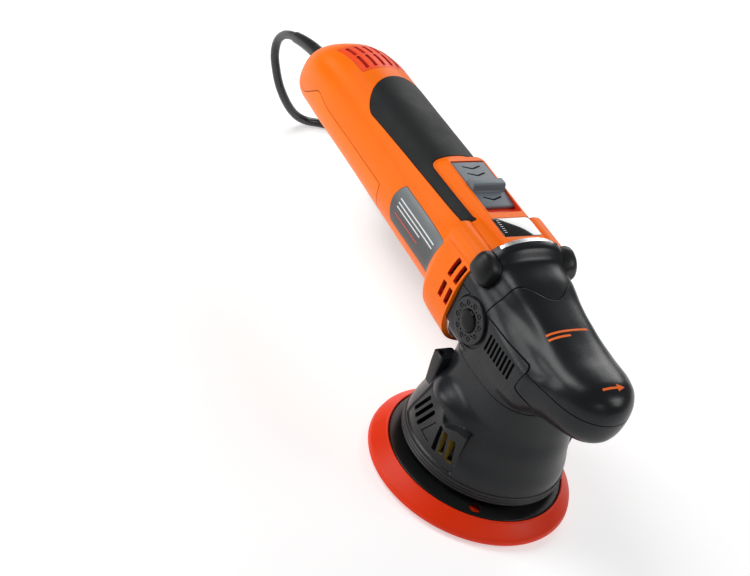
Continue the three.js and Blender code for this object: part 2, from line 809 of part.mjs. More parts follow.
function addBearings() {
  piece("front_motor_bearing", turnedOnMotor(ringOutline(SHAFT_R + GAP, 14, -41, -31)), STEEL);
  piece("rear_motor_bearing", turnedOnMotor(ringOutline(3.8, 11, -184, -176.5)), STEEL);
  piece("upper_spindle_bearing", turned(ringOutline(5.3, 9.3, 124, 131.6), 0, 0, 24), STEEL);
  piece("lower_spindle_bearing", turned(ringOutline(SPINDLE_R + GAP, 12.3, 84, 95)), STEEL);
  const bar = common(bodyLoft(WALL + GAP, -190, -170), block(-188, -176, -40, 40, 115, 131));
  const seat = cut(
    join(bar, rod("x", -188, -176, 14.5, [0, MOTOR_Z])),
    rod("x", -184.3, -170, 11.3, [0, MOTOR_Z], 24),
    rod("x", -187, -180, 5, [0, MOTOR_Z]),
  );
  piece("rear_bearing_bridge", seat, BLACK_PLASTIC);
}

const BRUSH = { x: -156.5, inner: 11.4, outer: 22, half: 3, tall: 3.8 };
function addBrushes() {
  for (const [tag, side] of [
    ["right", -1],
    ["left", 1],
  ]) {
    const span = (a, b) => [Math.min(side * a, side * b), Math.max(side * a, side * b)];
    const { x, inner, outer, half, tall } = BRUSH;
    const tube = cut(
      block(x - 5, x + 5, ...span(14, 30), MOTOR_Z - 6, MOTOR_Z + 6),
      block(
        x - half - GAP,
        x + half + GAP,
        ...span(10, 28.4),
        MOTOR_Z - tall - GAP,
        MOTOR_Z + tall + GAP,
      ),
    );
    piece("brush_holder_" + tag, tube, BRASS);
    const brush = block(x - half, x + half, ...span(inner, outer), MOTOR_Z - tall, MOTOR_Z + tall);
    piece("carbon_brush_" + tag, brush, CARBON);
  }
}

// ---- Spindle, eccentric and plate ---------------------------------------------------------

const PAD_BEARING = { r: 17.5, low: 32, high: 46 };
function addSpindle() {
  const spindle = turned(
    [
      [0, 63],
      [SPINDLE_R, 63],
      [SPINDLE_R, 121],
      [5, 121],
      [5, 134],
      [0, 134],
    ],
    0,
    0,
    24,
  );
  piece("spindle", spindle, STEEL);
  piece("crown_gear", crownSolid(), STEEL);
  piece("eccentric_hub", eccentricSolid(), STEEL);
  piece("counterweight", counterweightSolid(), BRASS);
  const { r, low, high } = PAD_BEARING;
  piece("pad_bearing", turned(ringOutline(8, r, low, high), PLATE_X, PLATE_Y), STEEL);
}

// Cup that carries the plate's bearing off centre, with a socket for the spindle on top.
function eccentricSolid() {
  const { r, low, high } = PAD_BEARING;
  const cup = rod("z", low - 1, high + 4, r + 4, [PLATE_X, PLATE_Y], 32);
  const neck = rod("z", high + 2, 78, 11.5, [0, 0], 24);
  return cut(
    join(cup, neck),
    rod("z", low - 5, high + GAP, r + GAP, [PLATE_X, PLATE_Y], 32),
    rod("z", 62.7, 90, SPINDLE_R + GAP, [0, 0], 24),
    rod("z", high - 2, high + 6, 6, [PLATE_X, PLATE_Y], 16),
  );
}

// A heavy sector on the side away from the plate's offset, to balance the orbit.
function counterweightSolid() {
  const outline = [];
  const away = THROW_ANGLE + Math.PI;
  for (let i = 0; i <= 12; i++) {
    const angle = away - 1.15 + (i / 12) * 2.3;
    outline.push([44 * Math.cos(angle), 44 * Math.sin(angle)]);
  }
  for (let i = 0; i <= 12; i++) {
    const angle = away + 1.45 - (i / 12) * 2.9;
    outline.push([13 * Math.cos(angle), 13 * Math.sin(angle)]);
  }
  const sector = prismXY(outline, 34, 60);
  const { r } = PAD_BEARING;
  const seat = rod("z", 20, 51, r + 4 + GAP, [PLATE_X, PLATE_Y], 32);
  return largest(cut(sector, seat, rod("z", 20, 80, 11.5 + GAP, [0, 0], 24)));
}

function addPlate() {
  const at = [PLATE_X, PLATE_Y];
  piece("hook_face", turned(ringOutline(5, 71.5, 0, HOOK_TOP), ...at, 36), HOOK_BLACK);
  const cushion = turned(
    [
      [9, HOOK_TOP + GAP],
      [73.8, HOOK_TOP + GAP],
      [PLATE_R, RIM_Z],
      [PLATE_R - 0.6, RIM_Z + 2.2],
      [CORE_R + 1.2, PLATE_TOP - 0.2],
      [CORE_R + GAP, PLATE_TOP - 0.6],
      [CORE_R + GAP, PLATE_TOP - 3.6],
      [9, PLATE_TOP - 3.6],
      [9, HOOK_TOP + GAP],
    ],
    ...at,
    32,
  );
  piece("plate_cushion", cushion, CUSHION_RED);
  const core = turned(
    [
      [8.3, PLATE_TOP - 3.3],
      [CORE_R, PLATE_TOP - 3.3],
      [CORE_R, PLATE_TOP - 0.4],
      [CORE_R - 0.6, PLATE_TOP],
      [22, PLATE_TOP],
      [18, 21],
      [14, 23],
      [8.3, 23],
      [8.3, PLATE_TOP - 3.3],
    ],
    ...at,
    32,
  );
  const windows = [];
  for (let i = 0; i < PLATE_WINDOW.count; i++) {
    const angle = PLATE_WINDOW.first + (i / PLATE_WINDOW.count) * 2 * Math.PI;
    const { reach } = PLATE_WINDOW;
    const centre = [PLATE_X + reach * Math.cos(angle), PLATE_Y + reach * Math.sin(angle)];
    windows.push(rod("z", 5, 25, PLATE_WINDOW.r, centre, 14));
  }
  piece("plate_core", cut(core, ...windows), BLACK_PLASTIC);
  const shaft = turned(
    [
      [4.3, 14],
      [8, 14],
      [8, 23.3],
      [11, 23.3],
      [11, 30],
      [7.7, 31.4],
      [7.7, 46],
      [4.3, 46],
      [4.3, 14],
    ],
    ...at,
    24,
  );
  piece("plate_shaft", shaft, STEEL);
  const bolt = turned(
    [
      [0, 7.6],
      [6.5, 7.6],
      [6.5, 13.6],
      [4, 13.6],
      [4, 40],
      [0, 40],
    ],
    ...at,
    20,
  );
  piece("plate_bolt", bolt, STEEL);
}

// ---- Switch and electronics ---------------------------------------------------------------

const SLIDE = { rear: -131, front: -85, half: 13.8, travel: 6 };
function addSwitch() {
  const { rear, front, half } = SLIDE;
  const low = RECESS.floor + GAP;
  const plate = join(
    block(rear, -108, -half, half, low, ISLAND_TOP + 0.2),
    block(rear + 2, front, -half, half, low, ISLAND_TOP - 1.6),
    block(-109, -101, -half, half, low, ISLAND_TOP + 4.5),
  );
  piece("switch_slider", plate, SWITCH_GREY);
  const link = join(
    block(-116, -104, -3.5, 3.5, 155, low - GAP),
    block(-150, -104, -2, 2, 154.2, 156.2),
  );
  piece("switch_link", link, BLACK_PLASTIC);
  const module = cut(
    block(-226, -198, -11, 11, 128, 152),
    block(-206, -190, -3, 3, 146, 160),
  );
  piece("power_switch", module, BLACK_PLASTIC);
  piece("control_board", block(-288, -230, -16, 16, 117, 119), BOARD_GREEN);
  piece("speed_wheel", wheelSolid(), BLACK_PLASTIC);
  piece("speed_potentiometer", potentiometerSolid(), BLACK_PLASTIC);
}

function wheelSolid() {
  const { x, y, z, r, width } = WHEEL;
  const disc = rod("z", z - width / 2, z + width / 2, r, [x, y], 28);
  const notches = [];
  for (let i = 0; i < 14; i++) {
    const angle = (i / 14) * 2 * Math.PI;
    const centre = [x + r * Math.cos(angle), y + r * Math.sin(angle)];
    notches.push(rod("z", z - width, z + width, 0.8, centre, 6));
  }
  return cut(disc, ...notches, rod("z", z - 5, z + 5, 2.3, [x, y], 12));
}

function potentiometerSolid() {
  const { x, y, z, width } = WHEEL;
  const top = z + width / 2 + GAP;
  return join(
    block(x - 7, x + 7, y - 8, y + 3.5, top, 116.5),
    rod("z", z - width / 2, top + 1, 2, [x, y], 12),
  );
}

// ---- Supply cord --------------------------------------------------------------------------

// Centreline from the handle's end to the hank: out, down under its own weight, then along
// the surface that the polisher stands on.
const LEAD = [
  [-313, 0, 114.5],
  [-327, 0, 114.1],
  [-342, 0, 111.4],
  [-357, 0.5, 106.8],
  [-371, 2, 100.6],
  [-383, 4, 92],
  [-390, 6, 81.5],
  [-391.3, 9, 68],
  [-389, 14, 54.5],
  [-386.5, 20, 42],
  [-384.5, 28, 30],
  [-384, 38, 18.6],
  [-384.8, 49, 9.6],
  [-385, 60, 4.6],
  [-383, 72, 3.5],
  [-377, 85, 3.5],
  [-366, 94, 3.5],
  [-351, 98, 3.5],
  [-334, 96, 3.5],
  [-317, 90.5, 3.5],
  [-300, 84.5, 3.5],
  [-284, 80.8, 3.6],
  [-268, 80.6, 4.1],
  [-250.8, 82.6, 4.8],
];
const RELIEF_END = 52; // length of lead inside the strain relief
const HANK = {
  x: -213.8,
  y: 118,
  straight: 73.6, // length of the straight runs, for 4 m of cord in all
  inner: 21, // bend radius of the innermost turn's centreline
  pitch: 7.2, // between turns, across and up
  columns: 3,
  layers: 4,
  lift: 1.3, // the tie's lower strand runs underneath
};
const HANK_OUT = HANK.inner + (HANK.columns - 1) * HANK.pitch;
const HANK_TOP = HANK.lift + HANK.layers * HANK.pitch;
const TIE = { half: 6, thick: 1 };
const PLUG = { x: -124, y: 88, z: 18, r: 18, length: 50, neck: 6.5, waist: 12 };
const PIN = { r: 2.4, length: 19, spacing: 19, base: 1.4 };
const CLAMP = { rear: -300, front: -290, half: 9, low: 103, high: 113.5 };

function vectors(list) {
  return list.map((row) => new THREE.Vector3(...row));
}

// A round bar along part of a curve, with its own radius at each step.
function bar(curve, from, to, steps, radiusAt, sides) {
  const rings = [];
  for (let i = 0; i <= steps; i++) {
    const along = from + ((to - from) * i) / steps;
    const centre = curve.getPointAt(along);
    const ahead = curve.getTangentAt(along);
    const across = new THREE.Vector3(0, 1, 0).cross(ahead).normalize();
    const up = ahead.clone().cross(across);
    const ring = [];
    for (let j = 0; j < sides; j++) {
      const angle = (j / sides) * 2 * Math.PI;
      const radius = radiusAt(i / steps);
      ring.push(
        centre
          .clone()
          .addScaledVector(across, radius * Math.cos(angle))
          .addScaledVector(up, radius * Math.sin(angle)),
      );
    }
    rings.push(ring);
  }
  return loft(rings);
}

// A plain tube along a list of points, cut square at both ends.
function cordTube(points, steps) {
  const section = new THREE.Shape();
  section.absarc(0, 0, CORD_R, 0, 2 * Math.PI, false);
  const path = new THREE.CatmullRomCurve3(points, false, "centripetal");
  const tube = new THREE.ExtrudeGeometry(section, {
    steps,
    curveSegments: 4,
    bevelEnabled: false,
    extrudePath: path,
  });
  return solid(tube);
}

function addCord() {
  const lead = new THREE.CatmullRomCurve3(vectors(LEAD), false, "centripetal");
  const length = lead.getLength();
  const start = RELIEF_END / length;
  const taper = (share) => 6.2 - 1.6 * share;
  const sleeve = bar(lead, 0, start, 7, taper, 12);
  const flange = rod("x", HANDLE_END + WALL + GAP, HANDLE_END + WALL + 4, 9.5, [0, EXIT.z], 20);
  const stem = rod("x", HANDLE_END - 0.5, HANDLE_END + WALL + 3, 6.2, [0, EXIT.z], 12);
  piece("strain_relief", join(sleeve, stem, flange), RUBBER);
  const free = [];
  const first = start + GAP / length;
  for (let i = 0; i <= 30; i++) free.push(lead.getPointAt(first + (1 - first) * (i / 30)));
  piece("supply_cord", cordTube(free, 22), RUBBER);
  piece("cord_hank", hankSolid(), RUBBER);
  piece("hank_tie", tieSolid(), BLACK_PLASTIC);
  const tail = vectors([
    [HANK.x + HANK.straight / 2 + 2 * GAP, HANK.y - HANK_OUT, HANK_TOP - CORD_R],
    [-160, 83.4, 25.6],
    [-146, 86, 20.6],
    [PLUG.x - 10, PLUG.y, PLUG.z],
    [PLUG.x - 4.6, PLUG.y, PLUG.z],
  ]);
  piece("plug_lead", cordTube(tail, 4), RUBBER);
  addPlug();
  const { rear, front, half, low, high } = CLAMP;
  const clamp = cut(
    block(rear, front, -half, half, low, high),
    rod("x", rear - 10, front + 10, CORD_R + GAP, [0, EXIT.z], 12),
  );
  piece("cord_clamp", clamp, BLACK_PLASTIC);
}

function hankPlan(radius) {
  const outline = [];
  for (const side of [1, -1])
    for (let i = 0; i <= 10; i++) {
      const angle = (side > 0 ? -Math.PI / 2 : Math.PI / 2) + (i / 10) * Math.PI;
      const centre = HANK.x + (side * HANK.straight) / 2;
      outline.push([centre + radius * Math.cos(angle), HANK.y + radius * Math.sin(angle)]);
    }
  return outline;
}

function hankSolid() {
  const outside = prismXY(hankPlan(HANK_OUT + CORD_R), HANK.lift, HANK_TOP);
  const inside = prismXY(hankPlan(HANK.inner - CORD_R), 0, HANK_TOP + 5);
  const lead = block(-330, HANK.x - HANK.straight / 2 + GAP, 60, 87, 0, 9);
  const tail = block(HANK.x + HANK.straight / 2, -100, 60, 90, 20, 45);
  return cut(outside, inside, lead, tail);
}

// A strap round one run of the hank.
function tieSolid() {
  const [low, high] = [HANK.y + HANK.inner - CORD_R, HANK.y + HANK_OUT + CORD_R];
  const { half, thick } = TIE;
  const strap = GAP + thick;
  const outer = block(
    HANK.x - half,
    HANK.x + half,
    low - strap,
    high + strap,
    0,
    HANK_TOP + strap,
  );
  const inner = block(HANK.x - 9, HANK.x + 9, low - GAP, high + GAP, thick, HANK_TOP + GAP);
  return cut(outer, inner);
}

function addPlug() {
  const { x, y, z, r, length, neck, waist } = PLUG;
  const body = join(
    rod("x", x + length - 22, x + length, r, [y, z], 24),
    rod("x", x + 10, x + length - 20, waist, [y, z], 20),
    rod("x", x - 4, x + 12, neck, [y, z], 16),
  );
  piece("mains_plug", body, BLACK_PLASTIC);
  const face = x + length + GAP;
  const pins = join(
    block(face, face + PIN.base, y - 12, y + 12, z - 3.5, z + 3.5),
    rod("x", face, face + PIN.length, PIN.r, [y - PIN.spacing / 2, z], 10),
    rod("x", face, face + PIN.length, PIN.r, [y + PIN.spacing / 2, z], 10),
  );
  piece("plug_pins", pins, BRASS);
}

addMotorHousing();
addHandleCover();
addRearVent();
addTrim();
addGearCase();
addHeadShells();
addSideCovers();
addShroud();
addStator();
addBearings();
addBrushes();
addArmature();
addSpindle();
addPlate();
addSwitch();
addCord();

export default polisher;
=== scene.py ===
"""Dual action polisher: the visible surfaces, finishes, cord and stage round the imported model.

The file is laid out as an add-on whose operators each make one piece or one group of pieces.
Sizes are in millimetres until a mesh is written, and in metres from there on.
+X points from the handle to the nose, +Z up along the spindle, and the right side is -Y.
"""

import math

import bpy
import numpy as np
from mathutils import Matrix, Vector


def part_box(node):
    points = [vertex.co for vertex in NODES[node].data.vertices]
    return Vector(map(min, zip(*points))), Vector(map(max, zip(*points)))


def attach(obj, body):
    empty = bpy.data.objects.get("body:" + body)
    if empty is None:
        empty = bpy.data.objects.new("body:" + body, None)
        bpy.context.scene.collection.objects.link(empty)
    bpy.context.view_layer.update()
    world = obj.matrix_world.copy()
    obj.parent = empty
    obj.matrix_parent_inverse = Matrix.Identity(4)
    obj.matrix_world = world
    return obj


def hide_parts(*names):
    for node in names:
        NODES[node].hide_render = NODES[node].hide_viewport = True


bl_info = {
    "name": "Dual action polisher",
    "version": (1, 0, 0),
    "blender": (4, 5, 0),
    "location": "View3D > Sidebar > Polisher",
    "description": "Builds the outside, the cord and the stage of a dual action polisher",
    "category": "Object",
}

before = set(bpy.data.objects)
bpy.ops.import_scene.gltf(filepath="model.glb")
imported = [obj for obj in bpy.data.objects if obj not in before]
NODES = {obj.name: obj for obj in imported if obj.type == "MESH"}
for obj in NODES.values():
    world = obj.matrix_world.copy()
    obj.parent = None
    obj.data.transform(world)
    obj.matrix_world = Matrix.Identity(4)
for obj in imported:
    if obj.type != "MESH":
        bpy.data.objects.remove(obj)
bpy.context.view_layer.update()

# ---- Shared dimensions ----------------------------------------------------------------------

MM = 0.001
GAP = 0.3
SEAM = 0.7
FLANGE_X = -46.0
HANDLE_END = -313.0
MOTOR_Z = 123.0
WALL = 3.2
ISLAND_TOP = 165.5
ISLAND_REAR = -143.0
ISLAND_HALF = 19.2
TUNNEL_R = 9.6
TUNNEL_Y = 29.5
TUNNEL_Z = 149.0
HEAD_Z = 92.0
HEAD_WALL = 2.6
NOSE_X = 91.5
SIDE_Y = 40.0
BOSS = np.array([-24.0, 117.5])
CORD_R = 3.5
NOSE_MARK_RIGHT = -21.0
SIDES = ((-1, "right"), (1, "left"))


def plate_centre():
    """Middle of the backing plate: the middle of its packed hook face."""
    low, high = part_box("hook_face")
    return np.array([low[0] + high[0], low[1] + high[1]]) / (2 * MM)


# x, half width, top, bottom, squareness above, squareness below
BODY = (
    (-313, 20, 130, 94, 2.5, 2.5),
    (-309.5, 24, 135.5, 91, 2.5, 2.5),
    (-300, 28.5, 144, 88.5, 2.45, 2.4),
    (-288, 31.8, 151.5, 88.5, 2.25, 2.25),
    (-272, 34.4, 157, 88.5, 2.2, 2.2),
    (-254, 35.6, 159.6, 88.5, 2.15, 2.2),
    (-215, 36, 160, 87.5, 2.1, 2.2),
    (-170, 37, 160.5, 86, 2.1, 2.2),
    (-130, 38, 161, 84.5, 2.1, 2.2),
    (-84, 39.4, 162.3, 83, 2.1, 2.2),
    (-76, 42.4, 162.8, 77.5, 2.3, 3),
    (-46, 43, 164, 76, 2.3, 3.2),
)
HEAD = (
    (-42, 40.2, 168.5, 92.3, 2.6, 9),
    (-38, 40, 167.4, 92.3, 2.6, 9),
    (-31, 39.5, 160.5, 92.3, 2.6, 9),
    (-15, 38, 157.5, 92.3, 2.6, 9),
    (0, 36, 153.5, 92.3, 2.6, 8),
    (18, 34, 150.5, 92.3, 2.6, 7),
    (38, 32, 147.8, 92.3, 2.6, 5),
    (48, 31.3, 147.4, 96, 2.5, 3.4),
    (60, 30.8, 148, 101, 2.5, 3),
    (72, 28, 148.4, 103, 2.4, 2.8),
    (81, 22.5, 146, 104.5, 2.3, 2.6),
    (87, 15.5, 141.5, 108, 2.2, 2.4),
    (90.5, 8, 135, 114, 2, 2),
    (91.5, 3, 129, 120, 2, 2),
)
# x, how much wider the head is below its middle than above
LOWER_FLARE = (
    (-42, 0),
    (-31, 0.5),
    (-15, 2),
    (0, 4),
    (18, 6),
    (36, 6.8),
    (48, 4.4),
    (60, 1.6),
    (72, 0.2),
    (81, 0),
    (91.5, 0),
)
# z, reach towards the handle, reach towards the nose, half width, squareness
SHROUD = (
    (19.6, 59, 59, 59, 2),
    (31, 58.2, 58.2, 58.2, 2),
    (44, 55.5, 55.5, 54.5, 2),
    (57, 51, 52.5, 50, 2.1),
    (68, 45.5, 49, 45.5, 2.3),
    (75, 42.2, 47.5, 42.5, 2.5),
    (91.7, 41.7, 44.5, 39.7, 3),
)


# ---- Curves and surfaces as arrays ------------------------------------------------------------


def smooth_rows(table, x):
    """Rows of a table at new stations: a monotone cubic between rows, with harmonic mean slopes."""
    rows = np.asarray(table, float)
    at, values = rows[:, 0], rows[:, 1:]
    step = np.diff(at)[:, None]
    rise = np.diff(values, axis=0) / step
    before, after = rise[:-1], rise[1:]
    steady = before * after > 0
    safe_before = np.where(steady, before, 1)
    safe_after = np.where(steady, after, 1)
    w1, w2 = 2 * step[1:] + step[:-1], step[1:] + 2 * step[:-1]
    inner = np.where(steady, (w1 + w2) / (w1 / safe_before + w2 / safe_after), 0)
    slope = np.vstack([rise[:1], inner, rise[-1:]])
    k = np.clip(np.searchsorted(at, x, side="right") - 1, 0, len(at) - 2)
    t = ((x - at[k]) / (at[k + 1] - at[k]))[:, None]
    h = step[k]
    return (
        (1 + 2 * t) * (1 - t) ** 2 * values[k]
        + t * (1 - t) ** 2 * h * slope[k]
        + t * t * (3 - 2 * t) * values[k + 1]
        - t * t * (1 - t) * h * slope[k + 1]
    )


def eased(value, low, high):
    """0 below low, 1 above high, and a smooth step between."""
    t = np.clip((value - low) / (high - low), 0, 1)
    return t * t * (3 - 2 * t)


def turn(count):
    return np.linspace(0, 2 * np.pi, count, endpoint=False)


def oval(half, up, down, upper, lower, angle):
    """Radius of a rounded section at each angle: r solves |r cos/half|^n + |r sin/reach|^n = 1."""
    above = np.sin(angle) > 0
    reach = np.where(above, up, down)
    power = np.where(above, upper, lower)
    side = np.abs(np.cos(angle) / half) ** power
    return (side + np.abs(np.sin(angle) / reach) ** power) ** (-1 / power)


def stations(start, stop, step, extra=()):
    """Evenly spaced stations from start to stop, with some more where the shape turns fast."""
    count = max(2, int(round((stop - start) / step)) + 1)
    return np.unique(np.concatenate([np.linspace(start, stop, count), np.asarray(extra, float)]))


def across_x(x, middle, radius, angle):
    """Points of sections that stand across X: radius at an angle about (0, middle)."""
    y = radius * np.cos(angle)
    z = middle + radius * np.sin(angle)
    return np.stack([np.broadcast_to(x, y.shape), y, z], axis=-1)


END_ROUND = 5.0


def body_rings(inset, start, stop, count=144):
    """Motor body: ovals along X, with a shallow scoop under each edge of the grip."""
    edge = start + END_ROUND * (1 - np.cos(np.linspace(0, np.pi / 2, 6)))
    x = stations(start, stop, 2.5, [] if start > HANDLE_END + 9 else edge)
    half, top, bottom, upper, lower = smooth_rows(BODY, x).T[:, :, None]
    into = np.clip(x - start, 0, END_ROUND)[:, None]
    rounding = END_ROUND - np.sqrt(END_ROUND**2 - (END_ROUND - into) ** 2)
    shrink = inset + (rounding if start <= HANDLE_END + 9 else 0)
    middle = (top + bottom) / 2
    angle = turn(count)[None, :]
    reach = top - middle - shrink
    radius = oval(half - shrink, reach, reach, upper, lower, angle)
    side_angle = np.arctan2(np.sin(angle), np.abs(np.cos(angle)))
    scoop = np.exp(-(((side_angle - 0.56) / 0.16) ** 2))
    along = eased(x, -298, -278) * (1 - 0.45 * eased(x, -270, -200)) * (1 - eased(x, -100, -80))
    radius = radius * (1 - 0.085 * scoop * along[:, None])
    return across_x(x[:, None], middle, radius, angle)


def head_rings(inset, start, stop, count=144):
    """Gear head: ovals along X, wider below than above, with a valley beside the raised top."""
    x = stations(start, stop, 2.0, [-40, -37, -35, -33, 84, 87, 88.5, 89.5, 90.5, 91])
    x = x[(x >= start) & (x <= stop)]
    half, top, bottom, upper, lower = smooth_rows(HEAD, np.clip(x, -42, NOSE_X)).T[:, :, None]
    wider = smooth_rows(LOWER_FLARE, np.clip(x, -42, NOSE_X)).T[:, :, None][0]
    middle = np.minimum(126, (top + bottom) / 2 + 4)
    angle = turn(count)[None, :]
    side_angle = np.arctan2(np.sin(angle), np.abs(np.cos(angle)))
    half = half + wider * (1 - eased(side_angle, -0.02, 0.4))
    up, down = top - middle - inset, middle - bottom - inset
    radius = oval(half - inset, up, down, upper, lower, angle)
    valley = np.exp(-(((side_angle - 0.56) / 0.2) ** 2))
    along = 1 - eased(x, 8, 46)
    radius = radius * (1 - 0.075 * valley * along[:, None])
    return across_x(x[:, None], middle, radius, angle)


def shroud_radius(z, angle, inset):
    """Reach of the shroud at a height and an angle about the spindle."""
    rear, front, half, power = smooth_rows(SHROUD, np.clip(z, 19.6, 91.7)).T[:, :, None]
    reach = np.where(np.cos(angle) > 0, front, rear) - inset
    side = np.abs(np.cos(angle) / reach) ** power
    return (side + np.abs(np.sin(angle) / (half - inset)) ** power) ** (-1 / power)


WINDOW_FROM, WINDOW_TO = -2.12, -1.03
WINDOW_LOW = 29.5
WINDOW_REACH = 56.8


def vent_panel(angle, z):
    """1 on the flat vent panel on each side of the shroud, 0 elsewhere, with steep borders."""
    top = 60.5 - 5 * np.exp(-(((angle + 1.38) / 0.13) ** 2))
    ends = eased(angle, WINDOW_FROM, WINDOW_FROM + 0.03)
    ends = ends * (1 - eased(angle, WINDOW_TO, WINDOW_TO + 0.022))
    return ends * eased(z, WINDOW_LOW - 1, WINDOW_LOW) * (1 - eased(z, top, top + 0.8))


def shroud_rings(inset, start, stop, shaped, count=360):
    """Shroud: ovals up Z, swollen above each vent panel, the panel sunk behind and proud ahead."""
    z = stations(start, stop, 0.75 if shaped else 3.0)[:, None]
    angle = turn(count)[None, :]
    body = shroud_radius(z[:, 0], angle, inset)
    mirrored = -np.abs(np.arctan2(np.sin(angle), np.cos(angle)))
    swell = 5.5 * np.exp(-(((mirrored + 1.72) / 0.36) ** 2)) * np.exp(-(((z - 65) / 8.0) ** 2))
    panel = vent_panel(mirrored, z)
    ahead = eased(mirrored, -1.8, -1.2)
    face = body - 1.2 + ahead * (WINDOW_REACH + 1.2 - body)
    radius = (body + swell) * (1 - panel) + face * panel if shaped else body
    x, y = radius * np.cos(angle), radius * np.sin(angle)
    return np.stack([x, y, np.broadcast_to(z, x.shape)], axis=-1)


def lathe_rings(profile, centre, axis="z", count=96):
    """A surface of revolution: each [radius, height] of the profile is one ring."""
    outline = np.asarray(profile, float)
    radius, height = outline[:, :1], outline[:, 1:]
    angle = turn(count)[None, :]
    u, v = radius * np.cos(angle), radius * np.sin(angle)
    w = np.broadcast_to(height, u.shape)
    if axis == "z":
        return np.stack([u + centre[0], v + centre[1], w], axis=-1)
    if axis == "x":
        return np.stack([w, u + centre[0], v + centre[1]], axis=-1)
    return np.stack([u + centre[0], w, v + centre[1]], axis=-1)


def round_corners(outline, radius, steps=6):
    """Replaces each corner by a quadratic curve between points that far from it on both sides."""
    corner = np.asarray(outline, float)
    before, after = np.roll(corner, 1, axis=0) - corner, np.roll(corner, -1, axis=0) - corner
    length_before = np.linalg.norm(before, axis=1, keepdims=True)
    length_after = np.linalg.norm(after, axis=1, keepdims=True)
    reach = np.minimum(np.broadcast_to(np.reshape(radius, (-1, 1)), length_before.shape), 0.49 * np.minimum(length_before, length_after))
    start = corner + before / length_before * reach
    end = corner + after / length_after * reach
    t = np.linspace(0, 1, steps)[None, :, None]
    curve = (1 - t) ** 2 * start[:, None] + 2 * t * (1 - t) * corner[:, None] + t * t * end[:, None]
    return curve.reshape(-1, 2)


def rectangle(u0, u1, v0, v1):
    return np.array([[u0, v0], [u1, v0], [u1, v1], [u0, v1]], float)


def curve_through(points, count):
    """Evenly spaced points of a centripetal spline through a list of points."""
    knots = np.asarray(points, float)
    padded = np.vstack([2 * knots[0] - knots[1], knots, 2 * knots[-1] - knots[-2]])
    gap = np.linalg.norm(np.diff(padded, axis=0), axis=1) ** 0.5
    time = np.concatenate([[0], np.cumsum(gap)])
    fine = np.linspace(time[1], time[-2], 40 * len(knots))
    k = np.clip(np.searchsorted(time, fine, side="right") - 1, 1, len(padded) - 3)
    t = fine[:, None]
    t0, t1, t2, t3 = (time[k + i][:, None] for i in (-1, 0, 1, 2))
    p0, p1, p2, p3 = (padded[k + i] for i in (-1, 0, 1, 2))
    a1 = ((t1 - t) * p0 + (t - t0) * p1) / (t1 - t0)
    a2 = ((t2 - t) * p1 + (t - t1) * p2) / (t2 - t1)
    a3 = ((t3 - t) * p2 + (t - t2) * p3) / (t3 - t2)
    b1 = ((t2 - t) * a1 + (t - t0) * a2) / (t2 - t0)
    b2 = ((t3 - t) * a2 + (t - t1) * a3) / (t3 - t1)
    line = ((t2 - t) * b1 + (t - t1) * b2) / (t2 - t1)
    return even_steps(line, count)


def path_length(line):
    return float(np.linalg.norm(np.diff(line, axis=0), axis=1).sum())


def even_steps(line, count):
    """The same line as count points at equal distances along it."""
    run = np.concatenate([[0], np.cumsum(np.linalg.norm(np.diff(line, axis=0), axis=1))])
    at = np.linspace(0, run[-1], count)
    return np.stack([np.interp(at, run, line[:, i]) for i in range(3)], axis=1)


def sweep_rings(line, radius, count=32):
    """Rings of a given radius round a line that never runs along Y."""
    ahead = np.gradient(line, axis=0)
    ahead /= np.linalg.norm(ahead, axis=1, keepdims=True)
    side = np.cross([0.0, 1.0, 0.0], ahead)
    side /= np.linalg.norm(side, axis=1, keepdims=True)
    up = np.cross(ahead, side)
    angle = turn(count)[None, :, None]
    reach = np.broadcast_to(radius, (len(line),))[:, None, None]
    return line[:, None] + reach * (np.cos(angle) * side[:, None] + np.sin(angle) * up[:, None])


# ---- Meshes -------------------------------------------------------------------------------------


def closed_faces(rings):
    """Quads between neighbouring rings of one closed surface, and one face on each end."""
    n, m = rings.shape[:2]
    i, j = np.meshgrid(np.arange(n - 1), np.arange(m), indexing="ij")
    a, b = i * m + j, i * m + (j + 1) % m
    quads = np.stack([a, b, b + m, a + m], axis=-1).reshape(-1, 4)
    ends = [list(range(m))[::-1], list(range((n - 1) * m, n * m))]
    return quads, ends


def enclosed(rings):
    """Signed volume between the rings' surface and their ends, by the divergence rule."""
    quads, _ = closed_faces(rings)
    flat = rings.reshape(-1, 3) - rings.mean(axis=(0, 1))
    p, q, r, s = (flat[quads[:, i]] for i in range(4))
    total = np.einsum("ij,ij->", p, np.cross(q, r)) + np.einsum("ij,ij->", p, np.cross(r, s))
    first, last = rings[0] - rings.mean(axis=(0, 1)), rings[-1] - rings.mean(axis=(0, 1))
    for ring, sign in ((first, -1), (last, 1)):
        fan = np.cross(ring[1:-1], ring[2:])
        total += sign * np.einsum("j,ij->", ring[0], fan)
    return total


def new_object(name, points, faces, finish):
    mesh = bpy.data.meshes.new(name)
    mesh.from_pydata((np.asarray(points) * MM).tolist(), [], faces)
    mesh.validate()
    piece = bpy.data.objects.new(name, mesh)
    bpy.context.scene.collection.objects.link(piece)
    if finish:
        mesh.materials.append(finish)
    return piece


def skin(name, rings, finish=None):
    """A closed solid skinned over a stack of rings, facing out."""
    if enclosed(rings) < 0:
        rings = rings[:, ::-1]
    quads, ends = closed_faces(rings)
    return new_object(name, rings.reshape(-1, 3), quads.tolist() + ends, finish)


